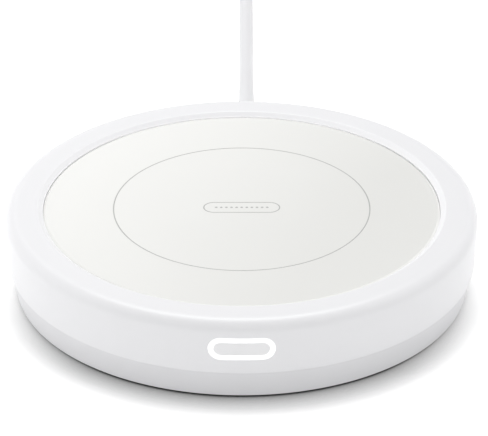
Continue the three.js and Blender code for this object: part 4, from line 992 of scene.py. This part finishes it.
def make_grip(material):
    """The plug's moulded grip and collar as one skin, with a pocket for the shell."""
    def section(x, inset, squeeze=0.0):
        outline = rounded_rectangle(GRIP_WIDTH - 2 * inset, GRIP_HEIGHT - 2 * inset, GRIP_CORNER - inset)
        limit = GRIP_HEIGHT / 2 - squeeze
        return plug_ring(x, [(y, max(-limit, min(limit, z))) for y, z in outline])

    def round_section(x, radius):
        outline = rounded_rectangle(GRIP_WIDTH, GRIP_HEIGHT, GRIP_CORNER)
        return plug_ring(x, [tuple(Vector(p).normalized() * radius) for p in outline])

    rings = [round_section(x, radius) for x, radius in COLLAR_PROFILE]
    rings += [section(x, inset) for x, inset in eased(GRIP_FILLET)]
    for i in range(GRIP_GROOVES):
        middle = GRIP_LENGTH / 2 + (i - (GRIP_GROOVES - 1) / 2) * GROOVE_PITCH
        down = [(middle - GROOVE_WIDTH / 2 + x, squeeze) for x, squeeze in GROOVE_PROFILE]
        up = [(2 * middle - x, squeeze) for x, squeeze in reversed(down)]
        rings += [section(x, 0, squeeze) for x, squeeze in down + up]
    rings += [section(GRIP_LENGTH - back, inset) for inset, back in eased(GRIP_FILLET)]
    pocket = rounded_rectangle(shell_high.y - shell_low.y + 2 * SHELL_FIT,
                               shell_high.z - shell_low.z + 2 * SHELL_FIT, SHELL_CORNER)
    rings += [plug_ring(GRIP_LENGTH - inset, pocket) for inset in (0, SHELL_INSET + SHELL_FIT)]
    return build("plug_body", *lofted(rings), material)


def make_plug_shell(material):
    """The pressed sleeve, open at its nose, with two windows above and two below."""
    width, height = shell_high.y - shell_low.y, shell_high.z - shell_low.z
    back, front = shell_low.x - plug_x, shell_high.x - plug_x
    outer = rounded_rectangle(width, height, SHELL_CORNER)
    inner = rounded_rectangle(width - 2 * SHELL_WALL, height - 2 * SHELL_WALL, SHELL_INNER_CORNER)
    nose = rounded_rectangle(width - NOSE_EDGE, height - NOSE_EDGE, SHELL_CORNER)
    profile = [(back, outer), (front - NOSE_EDGE, outer), (front, nose), (front, inner),
               (back + SHELL_WALL, inner)]
    sleeve = build("plug_sleeve", *lofted([plug_ring(x, outline) for x, outline in profile]), material)
    tools = []
    start = front - WINDOW_REACH - WINDOW_SIDE
    for middle in (-WINDOW_OFFSET, WINDOW_OFFSET):
        left, right = middle - WINDOW_SIDE / 2, middle + WINDOW_SIDE / 2
        hole = [(left, -height), (right, -height), (right, height), (left, height)]
        rings = [plug_ring(x, hole) for x in (start, start + WINDOW_SIDE)]
        tools.append(build("hole", *lofted(rings), material))
    return carve(sleeve, *tools)


def make_contacts(material):
    """Flat contacts side by side on the plug's tongue."""
    strip = {"Size": ("Vector", (CONTACT_LENGTH * MM, CONTACT_WIDTH * MM, 2 * CONTACT_RISE * MM))}
    middle = tongue_high.x - CONTACT_LENGTH / 2 - CONTACT_INSET
    first = plug_y - (CONTACT_COUNT - 1) / 2 * CONTACT_PITCH
    start = (middle * MM, first * MM, tongue_low.z * MM)
    step = (0.0, CONTACT_PITCH * MM, 0.0)
    return make_row("plug_contacts", "MeshCube", strip, CONTACT_COUNT, start, step, material)


# Finishes by slot

RING_EMISSION = 1.0
FIBRE_SHARE = 0.6
TRACK_PITCH = 4
TRACK_WIDTH_SHARE = 0.09
TRACK_SHARE = 0.8

# Colour, grain in millimetres, roughness, shade, then the grain's depth and the radius inside which the
# colour is painted paler as painted light
MOULDED = {
    # The shell's last value paints its bezel slope, lip and pocket paler: painted light on their shade
    "shell_white": ((0.888, 0.888, 0.904), 0.22, 0.34, 0.006, 0.003, lip_radius + LIP_WIDTH + BEZEL_SLOPE),
    "band_grey": ((0.8, 0.8, 0.815), 0.2, 0.5, 0.008),
    "key_white": ((0.93, 0.93, 0.94), 0.2, 0.35, 0.006, 0.002),
    "cord_white": ((0.8, 0.8, 0.815), 0.3, 0.45, 0.02, 0.005),
    "pale_rubber": ((0.5, 0.5, 0.51), 0.25, 0.8, 0.04, 0.01),
    "black_resin": ((0.028, 0.028, 0.03), 0.15, 0.5, 0.2),
    "cream_nylon": ((0.75, 0.7, 0.58), 0.2, 0.5, 0.04),
    "red_wire": ((0.45, 0.02, 0.015), 0.4, 0.4, 0.1),
    "black_wire": ((0.025, 0.025, 0.025), 0.4, 0.4, 0.2),
    "white_wire": ((0.78, 0.78, 0.78), 0.4, 0.42, 0.03),
}

# Colour, roughness and the scratches' width in millimetres
METALS = {
    "plated_steel": ((0.7, 0.71, 0.72), 0.28, 0.3),
    "screw_steel": ((0.45, 0.46, 0.47), 0.35, 0.3),
    "spreader_aluminium": ((0.66, 0.67, 0.69), 0.38, 0.6),
    "etched_foil": ((0.42, 0.42, 0.44), 0.42, 0.15),
    "pressed_steel": ((0.56, 0.57, 0.58), 0.4, 0.5),
    "can_aluminium": ((0.7, 0.71, 0.72), 0.3, 0.25),
    "contact_gold": ((0.83, 0.6, 0.26), 0.25, 0.2),
}


def make_lit():
    """The ring's diffuser, lit from behind."""
    finish = Finish("lit_diffuser", emission_strength=RING_EMISSION, roughness=0.3)
    cloud = finish.noise(1.5)
    finish.feed("Base Color", finish.blend(cloud, (0.2, 0.2, 0.2), (0.24, 0.24, 0.24)))
    finish.feed("Emission Color", finish.blend(cloud, (0.9, 0.9, 0.92), WHITE))
    return finish.material


def make_felt():
    """Needled felt: crossed fibres under a soft fuzz."""
    finish = Finish("white_felt", roughness=0.95, sheen_weight=0.3, sheen_roughness=0.5)
    fibres = finish.noise(0.5, detail=6, roughness=0.7)
    fuzz = fibres * FIBRE_SHARE + finish.noise(4, detail=3) * (1 - FIBRE_SHARE)
    finish.feed("Base Color", finish.blend(fuzz, (0.6, 0.58, 0.52), (0.86, 0.84, 0.78)))
    finish.bump(fibres, 0.12)
    return finish.material


def make_board():
    """Solder mask over a weave of glass cloth, with raised tracks."""
    finish = Finish("green_board", coat_weight=0.4, coat_roughness=0.15)
    cells = finish.node("TexVoronoi", {"Vector": finish.place, "Scale": 1 / (TRACK_PITCH * MM)},
                        feature="DISTANCE_TO_EDGE", distance="MANHATTAN")
    weave = finish.noise(0.35, detail=3)
    tracks = cells.math("LESS_THAN", cells, TRACK_WIDTH_SHARE)
    raised = tracks * TRACK_SHARE + weave * (1 - TRACK_SHARE)
    finish.feed("Base Color", finish.blend(raised, (0.012, 0.09, 0.04), (0.03, 0.2, 0.09)))
    finish.feed("Roughness", weave * 0.12 + 0.3)
    finish.bump(raised, 0.03)
    return finish.material


# Each slot's finish by its name, and those of the print and the contacts
FINISHES = {
    **{name: moulded(name, *row) for name, row in MOULDED.items()},
    **{name: metal(name, *row) for name, row in METALS.items()},
    "warm_glass": clouded("warm_glass", 30, (0.925, 0.925, 0.9), (0.95, 0.95, 0.925), (0.07, 0.05),
                          detail=2, ior=1.5, coat_weight=0.6, coat_roughness=0.05),
    "grey_print": clouded("grey_print", 0.12, (0.42, 0.42, 0.41), (0.52, 0.52, 0.51), (0.35, 0.1),
                          detail=2),
    "clear_silicone": clouded("clear_silicone", 3, (0.72, 0.72, 0.69), (0.8, 0.8, 0.78), (0.4, 0.15),
                              relief=(0.4, 2, 0.01), transmission_weight=0.35, ior=1.41),
    "amber_film": clouded("amber_film", 6, (0.5, 0.22, 0.03), (0.66, 0.33, 0.07), (0.25, 0.12),
                          relief=(0.8, 3, 0.02), coat_weight=0.5, coat_roughness=0.1),
    "lit_diffuser": make_lit(),
    "white_felt": make_felt(),
    "green_board": make_board(),
}


# Pieces on the frame

for subpart in frame["record"]["subparts"]:
    cad_node = frame["nodes"][subpart["node"]]
    cad_node.material_slots[0].material = FINISHES[subpart["material_slot"]]


def settle(make, slot, body, *replaced, finish=None):
    """Makes a piece, in its slot's finish or another, and puts it on the frame."""
    piece = make(FINISHES[finish or slot])
    if replaced:
        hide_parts(*replaced)
    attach(piece, body)
    return piece


settle(make_housing, "shell_white", "warmer", "top_housing")
settle(make_base, "band_grey", "warmer", "base_cover")
settle(make_feet, "pale_rubber", "warmer", "foot_1", "foot_2", "foot_3", "foot_4")
settle(make_plate, "warm_glass", "warmer", "glass_plate")
settle(make_print, "warm_glass", "warmer", finish="grey_print")
settle(make_dots, "warm_glass", "warmer", finish="grey_print")
settle(make_ring, "lit_diffuser", "warmer", "light_guide")
settle(make_key, "key_white", "button", "power_button")

cord = settle(make_cord, "cord_white", "warmer", "cord_lead", "cord_coil", "cord_end")
sleeve = settle(make_relief, "cord_white", "warmer", "strain_relief")
strap = settle(make_tie, "pale_rubber", "warmer", "cord_tie")
grip = settle(make_grip, "cord_white", "warmer", "plug_grip")
plug_sleeve = settle(make_plug_shell, "plated_steel", "warmer", "plug_shell")
contacts = settle(make_contacts, "plated_steel", "warmer", finish="contact_gold")
path = cord_path()
[tuple(p * MM) for p in path]


# Stage, light and camera

FLOOR_SIZE = 30
FLOOR_WHITE = 0.97
CAMERA_FILL = 0.44
# Painted contact shadow on the floor: its reach, its depth, where it fades out along Y, its tilt towards
# the front, and its samples
PAINTED_SHADOW_REACH = 0.0115
PAINTED_SHADOW_DEPTH = 1.13
PAINTED_SHADOW_FULL = -0.045
PAINTED_SHADOW_END = 0.012
PAINTED_SHADOW_SIDE = (0, 1, 0.2)
PAINTED_SHADOW_SAMPLES = 8
WORLD_LEVEL = 0.42

# Name, place, size, watts, and whether its image shows in gloss
LAMPS = [
    ("overhead", (-0.05, 0.4, 1.1), (0.8, 0.6), 5.8, True),
    ("behind", (0, 1.0, 0.9), (1.6, 0.8), 1.0, True),
    ("left", (-1.2, 0.2, 0.25), (1.2, 0.45), 3.4, False),
    ("right", (1.2, 0, 0.6), (0.9, 1.2), 3.3, False),
    ("front", (-0.3, -1.2, 0.7), (1.4, 0.6), 3.7, False),
]

# A card behind the object, seen only in its gloss, brighter at its left and foot
CARD_PLACE = (0, 1.0, 0.545)
CARD_SIZE = (0.9, 0.5)
CARD_LEVEL = 0.55
CARD_ACROSS = -5.5
CARD_UP = -4.0
CARD_LEAST = 0.08
CARD_MOST = 1.3
CARD_CORE = 0.5


def seen_share(tree):
    """1 for the rays that see the white studio: the camera's own, gloss and glass."""
    rays = tree.nodes.new("ShaderNodeLightPath")
    share = rays.outputs["Is Camera Ray"]
    for name in ("Is Glossy Ray", "Is Transmission Ray"):
        larger = tree.nodes.new("ShaderNodeMath")
        larger.operation = "MAXIMUM"
        tree.links.new(share, larger.inputs[0])
        tree.links.new(rays.outputs[name], larger.inputs[1])
        share = larger.outputs[0]
    return share


def make_floor():
    """A white floor that keeps the object's shadow, deepened by a painted contact shadow where the object
    stands close: an occlusion darkening, tilted towards the front and faded out behind, in the floor's
    colour and its light.
    """
    bpy.ops.mesh.primitive_plane_add(size=FLOOR_SIZE, location=(0, 0, 0))
    floor = bpy.context.object
    floor.name = "floor"
    finish = Finish("floor_white_painted_shadow", roughness=1.0, specular_ior_level=0.0, emission_strength=CAMERA_FILL)
    painted_shadow_open = finish.node("AmbientOcclusion", {"Distance": PAINTED_SHADOW_REACH, "Normal": PAINTED_SHADOW_SIDE},
                           "AO", samples=PAINTED_SHADOW_SAMPLES)
    depth = finish.ranged(finish.along("Y"), PAINTED_SHADOW_FULL, PAINTED_SHADOW_END, PAINTED_SHADOW_DEPTH, 0.0)
    # Painted shadow: how far the floor's colour and light are darkened near the object
    painted_shadow_factor = 1 - (1 - painted_shadow_open) * depth
    seen = Wire(finish, seen_share(finish.tree))
    finish.feed("Base Color", finish.blend(1 - seen * (1 - painted_shadow_factor), BLACK, [FLOOR_WHITE] * 3))
    finish.feed("Emission Color", finish.blend(seen * painted_shadow_factor, BLACK, WHITE))
    floor.data.materials.append(finish.material)


def make_card():
    """The card behind the object. Its border fades into the white of the studio."""
    bpy.ops.mesh.primitive_plane_add(size=1, location=CARD_PLACE, rotation=(math.pi / 2, 0, 0))
    card = bpy.context.object
    card.name = "gloss_card"
    card.scale = (*CARD_SIZE, 1)
    bpy.ops.object.transform_apply(location=True, rotation=True, scale=True)
    finish = Finish("card_glow", base_color=(*BLACK, 1), roughness=1.0, specular_ior_level=0.0,
                    emission_strength=CARD_MOST)
    across, up = finish.along("X"), finish.along("Z") - CARD_PLACE[2]
    glow = across * CARD_ACROSS + up * CARD_UP + CARD_LEVEL
    glow = glow.math("MINIMUM", glow.math("MAXIMUM", glow, CARD_LEAST), CARD_MOST)
    for line, size in zip((across, up), CARD_SIZE):
        border = finish.ranged(line.math("ABSOLUTE", line), size * CARD_CORE / 2, size / 2, 0.0, 1.0)
        glow = glow.math("MAXIMUM", glow, border)
    finish.feed("Emission Color", finish.blend(glow * (1 / CARD_MOST), BLACK, WHITE))
    card.data.materials.append(finish.material)
    for rays in ("camera", "diffuse", "shadow", "transmission"):
        setattr(card, "visible_" + rays, False)


def make_world():
    """White to the eye and in gloss and glass, and at a plain level as light."""
    world = bpy.data.worlds.new("studio")
    scene.world = world
    world.use_nodes = True
    tree = world.node_tree
    back = tree.nodes["Background"]
    mix = tree.nodes.new("ShaderNodeMix")
    mix.data_type = "RGBA"
    mix.inputs[6].default_value = (WORLD_LEVEL, WORLD_LEVEL, WORLD_LEVEL, 1)
    mix.inputs[7].default_value = (*WHITE, 1)
    tree.links.new(seen_share(tree), mix.inputs[0])
    tree.links.new(mix.outputs[2], back.inputs["Color"])
    back.inputs["Strength"].default_value = 1


def make_lamp(name, place, size, watts, in_gloss):
    """A lamp aimed at the object; one that is not in the gloss lights it without a mirror image."""
    data = bpy.data.lights.new(name, "AREA")
    data.shape = "RECTANGLE"
    data.size, data.size_y = size
    data.energy = watts
    lamp = bpy.data.objects.new(name, data)
    lamp.location = place
    lamp.visible_glossy = in_gloss
    lamp.rotation_euler = (-Vector(place)).to_track_quat("-Z", "Y").to_euler()
    scene.collection.objects.link(lamp)


make_floor()
make_card()
make_world()
for lamp in LAMPS:
    make_lamp(*lamp)

CAMERA_ELEVATION = math.radians(28.56)
CAMERA_DISTANCE = 0.9201
SENSOR_WIDTH = 36
LENS = 266.72
IMAGE_WIDTH, IMAGE_HEIGHT = 488, 436
TARGET_PIXEL = (241.71, 207.37)

target = Vector((0, 0, plate_top * MM))
camera_data = bpy.data.cameras.new("camera")
camera_data.sensor_width = SENSOR_WIDTH
camera_data.lens = LENS
camera_data.shift_x = (IMAGE_WIDTH / 2 - TARGET_PIXEL[0]) / IMAGE_WIDTH
camera_data.shift_y = (TARGET_PIXEL[1] - IMAGE_HEIGHT / 2) / IMAGE_WIDTH
camera = bpy.data.objects.new("camera", camera_data)
view = Vector((0, math.cos(CAMERA_ELEVATION), -math.sin(CAMERA_ELEVATION)))
camera.location = target - CAMERA_DISTANCE * view
camera.rotation_euler = (math.pi / 2 - CAMERA_ELEVATION, 0, 0)
scene.collection.objects.link(camera)
scene.camera = camera
scene.view_settings.view_transform = "Standard"

bpy.context.view_layer.update()
